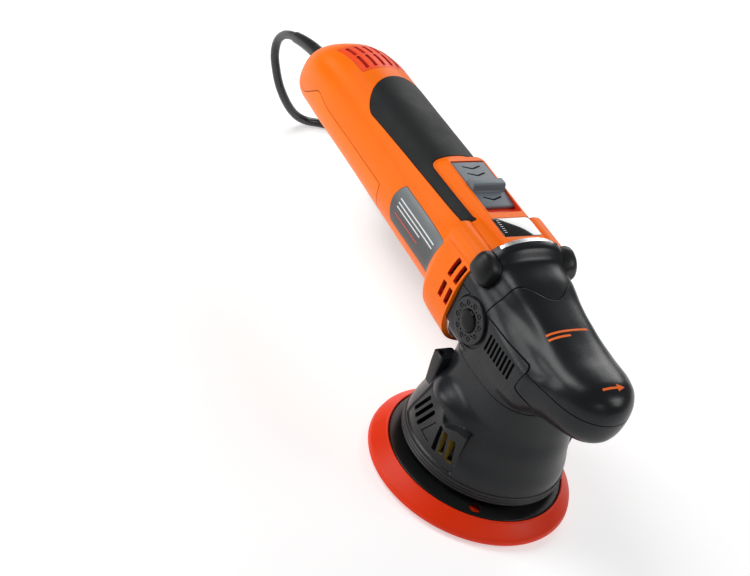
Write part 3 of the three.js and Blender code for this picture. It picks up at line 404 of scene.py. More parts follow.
def hoop(name, rings, finish=None):
    """A closed ring-like solid: the last ring of the profile joins the first."""
    n, m = rings.shape[:2]
    i, j = np.meshgrid(np.arange(n), np.arange(m), indexing="ij")
    a, b = i * m + j, i * m + (j + 1) % m
    c, d = (i + 1) % n * m + (j + 1) % m, (i + 1) % n * m + j
    quads = np.stack([a, b, c, d], axis=-1).reshape(-1, 4)
    flat = rings.reshape(-1, 3)
    p, q, r, s = (flat[quads[:, k]] for k in range(4))
    volume = np.einsum("ij,ij->", p, np.cross(q, r)) + np.einsum("ij,ij->", p, np.cross(r, s))
    if volume < 0:
        quads = quads[:, ::-1]
    return new_object(name, flat, quads.tolist(), finish)


PLANES = {"xy": (0, 1, 2), "xz": (0, 2, 1), "yz": (1, 2, 0)}


def prism(outline, plane, low, high, finish=None, name="prism"):
    """An outline in a plane carried from low to high along the third axis."""
    u, v, w = PLANES[plane]
    flat = np.asarray(outline, float)
    rings = np.zeros((2, len(flat), 3))
    rings[:, :, u], rings[:, :, v] = flat[:, 0], flat[:, 1]
    rings[0, :, w], rings[1, :, w] = min(low, high), max(low, high)
    return skin(name, rings, finish)


def block(x0, x1, y0, y1, z0, z1, finish=None):
    return prism(rectangle(x0, x1, y0, y1), "xy", z0, z1, finish, "block")


def rod(axis, low, high, radius, centre, finish=None, count=48):
    return skin("rod", lathe_rings([[radius, low], [radius, high]], centre, axis, count), finish)


def discard(*pieces):
    for piece in pieces:
        mesh = piece.data
        bpy.data.objects.remove(piece)
        if mesh.users == 0:
            bpy.data.meshes.remove(mesh)


def apply_modifiers(piece):
    """Writes a piece's modifiers into its mesh."""
    graph = bpy.context.evaluated_depsgraph_get()
    mesh = bpy.data.meshes.new_from_object(piece.evaluated_get(graph))
    old, piece.data = piece.data, mesh
    mesh.name = piece.name
    piece.modifiers.clear()
    bpy.data.meshes.remove(old)


def combine(operation, base, tools):
    for tool in tools:
        modifier = base.modifiers.new("combine", "BOOLEAN")
        modifier.operation = operation
        modifier.solver = "MANIFOLD"
        modifier.material_mode = "TRANSFER"
        modifier.object = tool
    apply_modifiers(base)
    discard(*tools)
    return base


def join(base, *tools):
    return combine("UNION", base, tools)


def cut(base, *tools):
    return combine("DIFFERENCE", base, tools)


def common(base, *tools):
    return combine("INTERSECT", base, tools)


def copied(piece):
    twin = piece.copy()
    twin.data = piece.data.copy()
    bpy.context.scene.collection.objects.link(twin)
    return twin


def bevelled(piece, width, segments=3, angle=40):
    """Rounds a piece's edges with a real bevel."""
    modifier = piece.modifiers.new("bevel", "BEVEL")
    modifier.width = width * MM
    modifier.segments = segments
    modifier.limit_method = "ANGLE"
    modifier.angle_limit = math.radians(angle)
    modifier.harden_normals = False
    apply_modifiers(piece)
    return piece


def finished(piece, name, body, replaced=(), sharp=32):
    """Names a piece, shades it smooth up to sharp edges, and declares where it belongs."""
    piece.name = name
    piece.data.name = name
    piece.data.shade_smooth()
    piece.data.set_sharp_from_angle(angle=math.radians(sharp))
    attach(piece, body)
    if replaced:
        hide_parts(*replaced)
    return piece


# ---- Finishes -----------------------------------------------------------------------------------


class Wire:
    """A value in a shader that can be used in sums, products and comparisons."""

    def __init__(self, finish, socket):
        self.finish = finish
        self.socket = socket

    def math(self, operation, *values):
        return self.finish.node("ShaderNodeMath", {"operation": operation}, *values)

    def __add__(self, other):
        return self.math("ADD", self, other)

    def __sub__(self, other):
        return self.math("SUBTRACT", self, other)

    def __rsub__(self, other):
        return self.math("SUBTRACT", other, self)

    def __mul__(self, other):
        return self.math("MULTIPLY", self, other)

    def __truediv__(self, other):
        return self.math("DIVIDE", self, other)

    def __gt__(self, other):
        return self.math("GREATER_THAN", self, other)

    def __lt__(self, other):
        return self.math("LESS_THAN", self, other)

    def size(self):
        return self.math("ABSOLUTE", self)

    __radd__ = __add__
    __rmul__ = __mul__


class Finish:
    """One material: its Principled shader and the nodes that feed it."""

    def __init__(self, name, **sockets):
        self.material = bpy.data.materials.new(name)
        self.material.use_nodes = True
        self.tree = self.material.node_tree
        self.tree.nodes.clear()
        output = self.tree.nodes.new("ShaderNodeOutputMaterial")
        self.shader = self.tree.nodes.new("ShaderNodeBsdfPrincipled")
        self.tree.links.new(self.shader.outputs[0], output.inputs["Surface"])
        self.place = self.node("ShaderNodeTexCoord", {}, out="Object")
        self.set(**sockets)

    def node(self, kind, settings, *values, out=0, **named):
        """Adds a node: its settings first, then its sockets by order or by name."""
        made = self.tree.nodes.new(kind)
        for key, value in settings.items():
            if key == "stops":
                self.write_stops(made.color_ramp, value)
            else:
                setattr(made, key, value)
        for key, value in [*enumerate(values), *named.items()]:
            self.feed(made.inputs[key.replace("_", " ") if isinstance(key, str) else key], value)
        return Wire(self, made.outputs[out])

    @staticmethod
    def write_stops(ramp, stops):
        while len(ramp.elements) < len(stops):
            ramp.elements.new(0.5)
        for element, (position, colour) in zip(ramp.elements, stops):
            element.position = position
            element.color = (*colour, 1)

    def feed(self, socket, value):
        if isinstance(value, Wire):
            self.tree.links.new(value.socket, socket)
        elif isinstance(value, tuple) and len(value) == 3 and socket.type == "RGBA":
            socket.default_value = (*value, 1)
        else:
            socket.default_value = value

    def set(self, **sockets):
        for key, value in sockets.items():
            self.feed(self.shader.inputs[key.replace("_", " ")], value)

    def axes(self, place=None):
        split = self.node("ShaderNodeSeparateXYZ", {}, place or self.place)
        return [Wire(self, split.socket.node.outputs[i]) for i in range(3)]

    def moved(self, location=(0, 0, 0), rotation=(0, 0, 0), scale=(1, 1, 1)):
        return self.node(
            "ShaderNodeMapping", {}, self.place, Location=location, Rotation=rotation, Scale=scale
        )

    def noise(self, scale, detail=2.0, place=None):
        return self.node(
            "ShaderNodeTexNoise", {}, Vector=place or self.place, Scale=scale, Detail=detail
        )

    def mix(self, factor, first, second):
        """First colour where factor is 0, second where it is 1."""
        made = self.tree.nodes.new("ShaderNodeMix")
        made.data_type = "RGBA"
        for key, value in ((0, factor), (6, first), (7, second)):
            self.feed(made.inputs[key], value)
        return Wire(self, made.outputs[2])

    def mapped(self, value, low, high, new_low, new_high):
        return self.node("ShaderNodeMapRange", {}, value, low, high, new_low, new_high)

    def bump(self, height, distance, strength=1.0, edge=0.0):
        """Relief of that height in metres over edges rounded to a radius in metres."""
        base = None
        if edge:
            base = self.node("ShaderNodeBevel", {"samples": 6}, Radius=edge)
        relief = self.node("ShaderNodeBump", {}, Strength=strength, Distance=distance, Height=height)
        if base:
            self.feed(relief.socket.node.inputs["Normal"], base)
        self.set(Normal=relief)


FINISHES = {}


def kept(maker):
    """Makes each finish once, and hands out the same material after that."""

    def get():
        if maker.__name__ not in FINISHES:
            FINISHES[maker.__name__] = maker().material
        return FINISHES[maker.__name__]

    return get


def colour(part):
    """The colour that is set for a part in the panel."""
    return tuple(getattr(bpy.context.scene.polisher_colours, part))


def moulded(name, colour, rough, grain=0.00004, grain_scale=2600, edge=0.0004, drift=0.06, **more):
    """Moulded plastic: fine spark-eroded grain, faint colour drift, edges with a small radius."""
    finish = Finish(name, **more)
    cloud = finish.noise(28.0, 2.0)
    darker = tuple(c * (1 - drift) for c in colour)
    lighter = tuple(min(1.0, c * (1 + drift)) for c in colour)
    finish.set(Base_Color=finish.mix(cloud, darker, lighter))
    fine = finish.noise(grain_scale, 2.0)
    finish.set(Roughness=finish.mapped(fine, 0.3, 0.7, rough - 0.04, rough + 0.05))
    finish.bump(fine, grain, edge=edge)
    return finish


@kept
def orange_plastic():
    return moulded("orange_plastic", colour("housing"), 0.4, Specular_IOR_Level=0.17)


@kept
def cover_plastic():
    return moulded("cover_plastic", colour("cover"), 0.4, Specular_IOR_Level=0.17)


@kept
def vent_plastic():
    return moulded("vent_plastic", (0.92, 0.075, 0.012), 0.42, Specular_IOR_Level=0.3)


# Darker, redder copy of the housing orange on the floor and walls of the switch recess: painted shade in the recess.
@kept
def recess_plastic():
    return moulded("recess_plastic", (0.72, 0.035, 0.006), 0.42)


# Darker, redder copy of the housing orange on the walls of the flare and vent slots: painted shade inside the slots.
@kept
def slot_plastic():
    return moulded("slot_plastic", (0.62, 0.018, 0.004), 0.55)


@kept
def slot_brass():
    return moulded("slot_brass", (0.16, 0.11, 0.012), 0.5)


@kept
def head_plastic():
    return moulded(
        "head_plastic", colour("head"), 0.29, grain=0.00003, edge=0.0005, Specular_IOR_Level=0.28
    )


@kept
def dark_plastic():
    return moulded("dark_plastic", (0.012, 0.0125, 0.0135), 0.4, edge=0.0003)


@kept
def core_plastic():
    return moulded(
        "core_plastic", (0.008, 0.0084, 0.009), 0.36, grain=0.00005, grain_scale=1500, Specular_IOR_Level=0.3
    )


@kept
def switch_plastic():
    return moulded("switch_plastic", (0.125, 0.148, 0.17), 0.45, edge=0.0004)


# Near black for real marks, and as painted shade in the groove round each side boss and in the boss's dimples.
@kept
def mark_black():
    return moulded("mark_black", (0.006, 0.006, 0.007), 0.5, edge=0.0001)


@kept
def grip_rubber():
    """Matt rubber with a close pebble grain and a soft bloom."""
    finish = Finish("grip_rubber", Specular_IOR_Level=0.25)
    pebble = finish.node(
        "ShaderNodeTexVoronoi", {"feature": "F1"}, Vector=finish.place, Scale=1500.0
    )
    cloud = finish.noise(60.0, 3.0)
    finish.set(Base_Color=finish.mix(cloud, (0.0042, 0.0049, 0.0058), (0.0072, 0.0079, 0.009)))
    finish.set(Roughness=finish.mapped(cloud, 0.3, 0.7, 0.5, 0.6))
    finish.bump(pebble, 0.00005, 0.6, edge=0.0005)
    return finish


@kept
def cap_rubber():
    return moulded(
        "cap_rubber", (0.008, 0.0085, 0.0095), 0.42, grain=0.00003, edge=0.0008, Specular_IOR_Level=0.35
    )


@kept
def skirt_rubber():
    return moulded("skirt_rubber", (0.02, 0.0185, 0.018), 0.45, grain=0.00004, edge=0.0004)


@kept
def cushion_foam():
    """Moulded polyurethane: smooth skin with faint mottling and a few pores."""
    finish = Finish("cushion_foam", Specular_IOR_Level=0.25)
    cloud = finish.noise(35.0, 4.0)
    red = colour("cushion")
    finish.set(Base_Color=finish.mix(cloud, tuple(0.8 * c for c in red), red))
    finish.set(Roughness=finish.mapped(cloud, 0.3, 0.7, 0.36, 0.46))
    pores = finish.node("ShaderNodeTexVoronoi", {"feature": "F1"}, Vector=finish.place, Scale=700.0)
    finish.bump(pores, 0.00004, 0.5, edge=0.0006)
    return finish


@kept
def hook_tape():
    """Rows of stiff little hooks."""
    finish = Finish("hook_tape", Sheen_Weight=0.2, Roughness=0.9)
    hooks = finish.node("ShaderNodeTexVoronoi", {"feature": "F1"}, Vector=finish.place, Scale=900.0)
    finish.set(Base_Color=finish.mix(hooks, (0.03, 0.03, 0.03), (0.008, 0.008, 0.008)))
    finish.bump(hooks, 0.0004, 0.9)
    return finish


@kept
def lens_plastic():
    """Deep black gloss lens."""
    finish = Finish("lens_plastic", Coat_Weight=1.0, Coat_Roughness=0.03, Specular_IOR_Level=0.7)
    haze = finish.noise(900.0, 2.0)
    finish.set(Base_Color=finish.mix(haze, (0.003, 0.003, 0.0035), (0.006, 0.006, 0.007)))
    finish.set(Roughness=finish.mapped(haze, 0.3, 0.7, 0.05, 0.09))
    finish.bump(haze, 0.000004, 0.3, edge=0.0003)
    return finish


@kept
def label_plate():
    """Plate whose colour fades from near black below to blue grey above: painted light falling from above."""
    finish = Finish("label_plate", Coat_Weight=0.3, Coat_Roughness=0.25)
    _, _, z = finish.axes()
    fleck = finish.noise(2200.0, 2.0)
    # Painted light: the plate's colour runs from near black at its foot to blue grey at its top.
    height = finish.mapped(z, 0.112, 0.139, 0.0, 1.0) + (fleck - 0.5) * 0.05
    painted_light_fade = finish.node(
        "ShaderNodeValToRGB",
        {"stops": [(0.0, (0.012, 0.013, 0.015)), (0.45, (0.045, 0.05, 0.055)), (1.0, (0.17, 0.19, 0.2))]},
        height,
    )
    finish.set(Base_Color=painted_light_fade, Roughness=finish.mapped(fleck, 0.3, 0.7, 0.34, 0.42))
    finish.bump(fleck, 0.00001, edge=0.0002)
    return finish


def ink(name, colour):
    finish = Finish(name)
    fleck = finish.noise(1800.0, 2.0)
    finish.set(Base_Color=finish.mix(fleck, tuple(c * 0.9 for c in colour), colour))
    finish.set(Roughness=finish.mapped(fleck, 0.3, 0.7, 0.45, 0.55))
    return finish


@kept
def orange_ink():
    return ink("orange_ink", (0.95, 0.16, 0.01))


@kept
def white_ink():
    return ink("white_ink", (0.75, 0.77, 0.78))


@kept
def red_ink():
    return ink("red_ink", (0.7, 0.045, 0.02))


def metal(name, colour, rough, streaks=(1, 1, 1), scale=400.0, depth=0.00002):
    """Bare metal whose fine marks run along the axis with the smallest streak scale."""
    finish = Finish(name, Metallic=1.0)
    marks = finish.noise(scale, 3.0, finish.moved(scale=streaks))
    dull = tuple(c * 0.82 for c in colour)
    finish.set(Base_Color=finish.mix(marks, dull, colour))
    finish.set(Roughness=finish.mapped(marks, 0.3, 0.7, rough - 0.06, rough + 0.08))
    finish.bump(marks, depth, 0.5, edge=0.0003)
    return finish


@kept
def cast_aluminium():
    return metal("cast_aluminium", (0.82, 0.83, 0.84), 0.33, scale=1200.0, depth=0.00003)


@kept
def ground_steel():
    return metal("ground_steel", (0.52, 0.53, 0.55), 0.3, (1, 1, 0.06))


@kept
def motor_steel():
    return metal("motor_steel", (0.5, 0.51, 0.53), 0.3, (0.06, 1, 1))


@kept
def plain_brass():
    return metal("plain_brass", (0.78, 0.52, 0.16), 0.32, (1, 1, 0.2))


@kept
def laminated_iron():
    """Stack of varnished sheets: thin lines across the motor axis."""
    finish = Finish("laminated_iron", Metallic=0.8)
    x, _, _ = finish.axes()
    sheet = (x * (2 * math.pi / 0.0005)).math("SINE", x * (2 * math.pi / 0.0005))
    cloud = finish.noise(90.0, 3.0)
    finish.set(Base_Color=finish.mix(cloud, (0.07, 0.065, 0.06), (0.16, 0.15, 0.15)))
    finish.set(Roughness=finish.mapped(cloud, 0.3, 0.7, 0.45, 0.6))
    finish.bump(sheet, 0.00005, 0.6)
    return finish


@kept
def wound_copper():
    """Enamelled wire laid side by side."""
    finish = Finish("wound_copper", Metallic=1.0)
    x, _, _ = finish.axes()
    wire = (x * 1.0).math("SINE", x * (2 * math.pi / 0.0007))
    cloud = finish.noise(120.0, 3.0)
    finish.set(Base_Color=finish.mix(cloud, (0.42, 0.14, 0.05), (0.72, 0.3, 0.13)))
    finish.set(Roughness=finish.mapped(cloud, 0.3, 0.7, 0.28, 0.4))
    finish.bump(wire, 0.00012, 0.8)
    return finish


@kept
def commutator_copper():
    return metal("commutator_copper", (0.72, 0.36, 0.2), 0.3, (0.05, 1, 1))


@kept
def pressed_carbon():
    return moulded("pressed_carbon", (0.02, 0.02, 0.021), 0.6, grain=0.00006, edge=0.0002)


@kept
def circuit_board():
    """Green board with paler tracks under the varnish."""
    finish = Finish("circuit_board", Coat_Weight=0.4, Coat_Roughness=0.2)
    tracks = finish.node(
        "ShaderNodeTexBrick",
        {},
        Vector=finish.place,
        Color1=(0.012, 0.1, 0.035),
        Color2=(0.01, 0.075, 0.028),
        Mortar=(0.05, 0.2, 0.08),
        Scale=220.0,
    )
    cloud = finish.noise(300.0, 2.0)
    finish.set(Base_Color=tracks, Roughness=finish.mapped(cloud, 0.3, 0.7, 0.4, 0.5))
    finish.bump(cloud, 0.00002, 0.5)
    return finish


@kept
def cord_rubber():
    """Cord sheath: satin black with very fine drawn marks and a little dust."""
    finish = Finish("cord_rubber")
    dust = finish.noise(240.0, 4.0)
    fine = finish.noise(2400.0, 2.0)
    finish.set(Base_Color=finish.mix(dust, (0.010, 0.0105, 0.0115), (0.018, 0.0185, 0.0195)))
    finish.set(Roughness=finish.mapped(dust, 0.3, 0.7, 0.24, 0.36))
    finish.bump(fine, 0.00003)
    return finish


@kept
def tie_fabric():
    """Woven tie: crossed ribs."""
    finish = Finish("tie_fabric", Sheen_Weight=0.3, Roughness=0.85)
    x, y, z = finish.axes()
    pitch = 2 * math.pi / 0.0008
    rib = x.math("SINE", x * pitch) * y.math("SINE", (y + z) * pitch)
    finish.set(Base_Color=finish.mix(rib, (0.012, 0.012, 0.013), (0.03, 0.03, 0.032)))
    finish.bump(rib, 0.0001, 0.8)
    return finish


@kept
def pale_floor():
    finish = Finish("pale_floor", Emission_Color=(1.0, 1.0, 1.0), Emission_Strength=0.52)
    cloud = finish.noise(3.0, 2.0)
    finish.set(Base_Color=finish.mix(cloud, (0.6, 0.6, 0.6), (0.62, 0.62, 0.62)))
    finish.set(Roughness=finish.mapped(cloud, 0.3, 0.7, 0.5, 0.6))
    return finish


# ---- Cord ---------------------------------------------------------------------------------------

# Centreline from the handle's end to the hank: out, down under its own weight, then along
# the surface that the polisher stands on.
LEAD = (
    (-313, 0, 114.5),
    (-327, 0, 114.1),
    (-342, 0, 111.4),
    (-357, 0.5, 106.8),
    (-371, 2, 100.6),
    (-383, 4, 92),
    (-390, 6, 81.5),
    (-391.3, 9, 68),
    (-389, 14, 54.5),
    (-386.5, 20, 42),
    (-384.5, 28, 30),
    (-384, 38, 18.6),
    (-384.8, 49, 9.6),
    (-385, 60, 4.6),
    (-383, 72, 3.5),
    (-377, 85, 3.5),
    (-366, 94, 3.5),
    (-351, 98, 3.5),
    (-334, 96, 3.5),
    (-317, 90.5, 3.5),
    (-300, 84.5, 3.5),
    (-284, 80.8, 3.6),
    (-268, 80.6, 4.1),
)
HANK_X, HANK_Y = -213.8, 118.0
HANK_RUN = 73.6
HANK_INNER = 21.0
HANK_PITCH = 7.2
HANK_LIFT = 1.3
HANK_COLUMNS = (2, 1, 0, 0, 1, 2, 2, 1, 0, 0, 1, 2)
HANK_LAYERS = (0, 0, 0, 1, 1, 1, 2, 2, 2, 3, 3, 3)
PLUG_X, PLUG_Y, PLUG_Z = -124.0, 88.0, 18.0
RELIEF_LENGTH = 52.0


def hank_line():
    """Turns of a flat oval. Every turn steps to the next column or layer on its rear bend."""
    count = 24
    run = HANK_RUN / 2
    turns = len(HANK_COLUMNS) - 1
    u = np.linspace(0, 1, count, endpoint=False)
    u, k = np.meshgrid(u, np.arange(turns))
    columns, layers = np.array(HANK_COLUMNS, float), np.array(HANK_LAYERS, float)
    bend = np.clip((u - 0.68) / 0.32, 0, 1)
    column = columns[k] + (columns[k + 1] - columns[k]) * eased(bend, 0.1, 1)
    layer = layers[k] + (layers[k + 1] - layers[k]) * eased(bend, 0, 0.55)
    radius = HANK_INNER + column * HANK_PITCH
    front = np.clip((u - 0.18) / 0.32, 0, 1)
    out = np.clip(u / 0.18, 0, 1) - np.clip((u - 0.5) / 0.18, 0, 1)
    angle = -np.pi / 2 + np.pi * front + np.pi * bend
    x = HANK_X + run * (2 * out - 1) + radius * np.cos(angle)
    y = HANK_Y + radius * np.sin(angle)
    z = HANK_LIFT + CORD_R + layer * HANK_PITCH
    return np.stack([x, y, z], axis=-1).reshape(-1, 3)


def cord_line():
    """The whole cord from the handle to the plug."""
    outer = HANK_INNER + 2 * HANK_PITCH
    top = HANK_LIFT + CORD_R + 3 * HANK_PITCH
    tail = (
        (HANK_X - HANK_RUN / 2, HANK_Y - outer, top),
        (HANK_X, HANK_Y - outer, top),
        (HANK_X + HANK_RUN / 2 + 0.6, HANK_Y - outer, top),
        (-160, 83.4, 25.6),
        (-146, 86, 20.6),
        (PLUG_X - 10, PLUG_Y, PLUG_Z),
        (PLUG_X - 4.6, PLUG_Y, PLUG_Z),
    )
    return np.vstack([np.array(LEAD, float), hank_line(), np.array(tail, float)])


def round_curve(name, line, radius, finish):
    """A smooth round cord through its route's points, in millimetres.

    Each point's handles lie along the mean of the directions to its two neighbours, a third of
    the way to each, so that neighbouring spans meet in one tangent.
    """
    curve = bpy.data.curves.new(name, "CURVE")
    curve.dimensions = "3D"
    curve.bevel_depth = radius * MM
    curve.bevel_resolution = 5
    curve.resolution_u = 5
    curve.use_fill_caps = True
    span = np.diff(line, axis=0)
    gap = np.linalg.norm(span, axis=1, keepdims=True)
    way = span / gap
    ahead = np.vstack([way[:1], way[:-1] + way[1:], way[-1:]])
    ahead /= np.linalg.norm(ahead, axis=1, keepdims=True)
    before = np.vstack([gap[:1], gap]) / 3
    after = np.vstack([gap, gap[-1:]]) / 3
    spline = curve.splines.new("BEZIER")
    points = spline.bezier_points
    points.add(len(line) - 1)
    for key, place in (
        ("co", line),
        ("handle_left", line - ahead * before),
        ("handle_right", line + ahead * after),
    ):
        points.foreach_set(key, (place * MM).astype(np.float32).ravel())
    curve.materials.append(finish)
    piece = bpy.data.objects.new(name, curve)
    bpy.context.scene.collection.objects.link(piece)
    return piece


def relief_sleeve():
    """Smooth tapered rubber sleeve round the start of the cord, with a rounded end."""
    line = curve_through(LEAD, 1200)
    run = np.linspace(0, path_length(line), len(line))
    steps = 160
    part = np.stack([np.interp(np.linspace(0, RELIEF_LENGTH, steps), run, line[:, i]) for i in range(3)], 1)
    share = np.linspace(0, 1, steps)
    end = 0.9 * (1 - np.sqrt(np.clip(1 - ((share - 0.97) / 0.03).clip(0) ** 2, 0, 1)))
    sleeve = skin("sleeve", sweep_rings(part, 6.1 - 1.7 * share - end, 40), cord_rubber())
    flange = skin(
        "flange",
        lathe_rings([[6, -313.4], [9.2, -313.3], [9.5, -312.6], [9.5, -309.4], [6, -309.2]], (0, 114.5), "x", 48),
        cord_rubber(),
    )
    return join(sleeve, flange)


def plug_body():
    """Round two-pin plug: a shouldered solid of revolution about X with finger grooves."""
    x = PLUG_X
    s = np.linspace(0, 1, 40)
    neck_x = x - 4 + 30 * s
    neck = 6.5 + 5.8 * eased(s, 0.2, 0.9) - 0.5 * eased(np.cos(s * 2 * np.pi * 5), 0.2, 0.9) * (s < 0.62)
    head_s = np.linspace(0, 1, 24)
    head_x = x + 27.5 + 21 * head_s
    head = 12.4 + 5.6 * eased(head_s, 0, 0.35)
    profile = np.concatenate(
        [
            [[4.4, x - 4.6], [6.0, x - 4.4]],
            np.stack([neck, neck_x], 1),
            np.stack([head, head_x], 1),
            [[17.9, x + 49.2], [17.2, x + 49.9], [12, x + 50], [11.5, x + 49.4], [3, x + 49.2]],
        ]
    )
    body = skin("plug", lathe_rings(profile, (PLUG_Y, PLUG_Z), "x", 96), dark_plastic())
    top = PLUG_Z + 16.6
    grooves = [
        block(at, at + 1.4, PLUG_Y - 8, PLUG_Y + 8, top, top + 4) for at in x + 32 + 3.2 * np.arange(4)
    ]
    return cut(body, *grooves)


def plug_contacts():
    """Two round pins with domed tips on the plug's face."""
    face = PLUG_X + 50 + GAP
    profile = [[2.4, face], [2.4, face + 17], [2.1, face + 18.2], [1.2, face + 18.9], [0.4, face + 19]]
    pins = [
        skin("pin", lathe_rings(profile, (PLUG_Y + side * 9.5, PLUG_Z), "x", 32), plain_brass())
        for side in (-1, 1)
    ]
    bar = block(face, face + 1.4, PLUG_Y - 12, PLUG_Y + 12, PLUG_Z - 3.5, PLUG_Z + 3.5, dark_plastic())
    return join(bar, *pins)


def tie_loop():
    """Woven strap round one run of the hank: an oval band with a lapped end."""
    outer = HANK_INNER + 2 * HANK_PITCH + CORD_R
    low, high = HANK_Y + HANK_INNER - CORD_R, HANK_Y + outer
    top = HANK_LIFT + 4 * HANK_PITCH
    corner = [5, 5, 5, 5]
    inside = round_corners(rectangle(low - GAP, high + GAP, 0.9, top + GAP), corner)
    outside = round_corners(rectangle(low - 1.3, high + 1.3, 0, top + 1.3), corner)
    band = prism(outside, "yz", HANK_X - 6, HANK_X + 6, tie_fabric())
    band = cut(band, prism(inside, "yz", HANK_X - 9, HANK_X + 9))
    lap = round_corners(rectangle(HANK_X - 5.6, HANK_X + 5.6, HANK_Y + 22, high - 5.5), [2, 2, 2, 2])
    return join(band, prism(lap, "xy", top + 0.8, top + 2.1, tie_fabric()))


# ---- Motor housing --------------------------------------------------------------------------------


def cover_outline(gap):
    """Side view of the lower handle cover, [x, z]."""
    corners = [
        [-163 - gap, 60],
        [-163 - gap, 121 - gap],
        [-250, 121 - gap],
        [-268, 124.5 - gap],
        [-290, 107 - gap],
        [-340, 103 - gap],
        [-340, 60],
    ]
    return round_corners(corners, [0.1, 2.5, 6, 3, 3, 0.1, 0.1])


def grip_outline(gap):
    """Plan of the grip: round behind, and a strip on each side of the switch island."""
    half, inner, front = 29.5 - gap, ISLAND_HALF + 1 + gap, -78 - gap
    rear = ISLAND_REAR - 0.7 - gap
    fork = [[front, -half], [front, -inner], [rear, -inner], [rear, inner], [front, inner], [front, half]]
    bend = np.linspace(np.pi / 2, 1.5 * np.pi, 49)
    arc = np.stack([-210 + (28 - gap) * np.cos(bend), (28 - gap) * np.sin(bend)], 1)
    rounded = round_corners(fork, [2.5, 1.5, 7, 7, 1.5, 2.5])
    return np.vstack([rounded, arc])


def label_outline(gap):
    """Side view of the label: bowed behind, and slanted in a shallow bow in front."""
    rear, front, low, high = -145, -79, 107.5, 138
    bow = np.linspace(0, 1, 15)
    back = np.stack([rear + 5 * (2 * bow - 1) ** 2 + gap, low + (high - low) * bow], 1)
    ahead = np.stack([front - 3 + 3 * bow - 1.2 * np.sin(np.pi * bow) - gap, low + (high - low) * bow], 1)
    outline = np.vstack([back[::-1], ahead])
    outline[:, 1] = np.clip(outline[:, 1], low + gap, high - gap)
    return round_corners(outline, np.full(len(outline), 0.6), 3)


def body_solid(inset=0.0, start=HANDLE_END, stop=FLANGE_X, finish=None):
    return skin("body", body_rings(inset, start, stop), finish)


def body_hollow():
    return body_solid(WALL, HANDLE_END + 10, FLANGE_X - 0.001 + 1)


def body_layer(outer, inner, finish=None):
    """The part of the body between two depths under its surface."""
    shell = body_solid(outer, HANDLE_END + 12, FLANGE_X - 2, finish)
    return cut(shell, body_solid(inner, HANDLE_END + 9.5, FLANGE_X - 0.5))


def island():
    """Raised bed of the switch: a rounded outline that draws in towards its top."""
    levels = np.array([[140, 0, 0], [155, 0, 0], [164.2, 2.5, 5.6], [165.1, 3.0, 6.1], [165.5, 3.9, 7.0]])
    rings = []
    for z, narrower, shorter in levels:
        half = ISLAND_HALF - narrower
        corners = rectangle(ISLAND_REAR + shorter, FLANGE_X, -half, half)
        flat = round_corners(corners, [7, 0.2, 0.2, 7], 8)
        rings.append(np.column_stack([flat, np.full(len(flat), z)]))
    return skin("island", np.array(rings), orange_plastic())


def tunnel(side):
    """Half-round screw tunnel at a front corner of the housing, with a domed rear end."""
    bend = np.linspace(0, np.pi / 2, 8)
    dome = np.stack([TUNNEL_R * np.sin(bend).clip(0.08), -77 - 4.5 * np.cos(bend)], 1)
    profile = np.vstack([dome, [[TUNNEL_R, FLANGE_X]]])
    return skin("tunnel", lathe_rings(profile, (side * TUNNEL_Y, TUNNEL_Z), "x", 72), orange_plastic())


def flare_slots():
    """Two rows of two slots on each side of the flare, as cutters whose dark red walls are painted shade."""
    tools = []
    for side, _ in SIDES:
        for low, tall in ((128, 14), (110, 13)):
            for x in (-60, -52):
                hole = round_corners(rectangle(x, x + 4.4, low, low + tall), [0.8] * 4, 4)
                deep = 36.5 if low > 120 else 39.6
                tools.append(prism(hole, "xz", side * deep, side * 50, slot_plastic()))
    return tools


SWITCH_REAR, SWITCH_FRONT, SWITCH_HALF, SWITCH_FLOOR = -132.0, -76.8, 14.4, 161.2
LENS_REAR, LENS_FRONT, LENS_HALF, LENS_DEPTH = -71.0, -51.5, 16.0, 1.8
VENT_REAR, VENT_FRONT, VENT_HALF = -286.0, -249.0, 19.0


def vent_outline(gap):
    corners = rectangle(VENT_REAR + gap, VENT_FRONT - gap, gap - VENT_HALF, VENT_HALF - gap)
    return round_corners(corners, [1.5] * 4, 4)


def housing_shell():
    shell = body_solid(finish=orange_plastic())
    shell = join(shell, island(), *(tunnel(side) for side, _ in SIDES))
    pocket = common(prism(grip_outline(0), "xy", MOTOR_Z, 175), body_layer(-3, 1.6))
    labels = common(prism(label_outline(0), "xz", -60, 60), body_layer(-3, 0.8))
    recess = round_corners(rectangle(SWITCH_REAR, SWITCH_FRONT, -SWITCH_HALF, SWITCH_HALF), [2] * 4)
    lens = round_corners(rectangle(LENS_REAR, LENS_FRONT, -LENS_HALF, LENS_HALF), [1.2] * 4)
    return cut(
        shell,
        body_hollow(),
        prism(cover_outline(0), "xz", -60, 60),
        pocket,
        labels,
        # The switch recess and the slot in its floor take the darker red: painted shade.
        prism(recess, "xy", SWITCH_FLOOR, 175, recess_plastic()),
        block(-118, -92, -5, 5, 150, 175, recess_plastic()),
        prism(lens, "xy", ISLAND_TOP - LENS_DEPTH, 175),
        prism(vent_outline(0), "xy", MOTOR_Z, 175),
        rod("x", HANDLE_END - 5, HANDLE_END + 14, 7, (0, 114.5)),
        *flare_slots(),
    )


def cover_shell():
    """Lower handle cover, with a slot that the speed wheel stands out of."""
    low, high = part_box("speed_wheel")
    x, z = (low[0] + high[0]) / (2 * MM), (low[2] + high[2]) / (2 * MM)
    shell = cut(body_solid(finish=cover_plastic()), body_hollow())
    seam = bpy.context.scene.polisher_sizes.seam / MM
    shell = common(shell, prism(cover_outline(seam), "xz", -60, 60))
    slot = round_corners(rectangle(x - 12, x + 12, z - 3.4, z + 3.4), [2] * 4)
    hole = rod("x", HANDLE_END - 5, HANDLE_END + 14, 7, (0, 114.5))
    return cut(shell, prism(slot, "xz", 12, 60, dark_plastic()), hole)


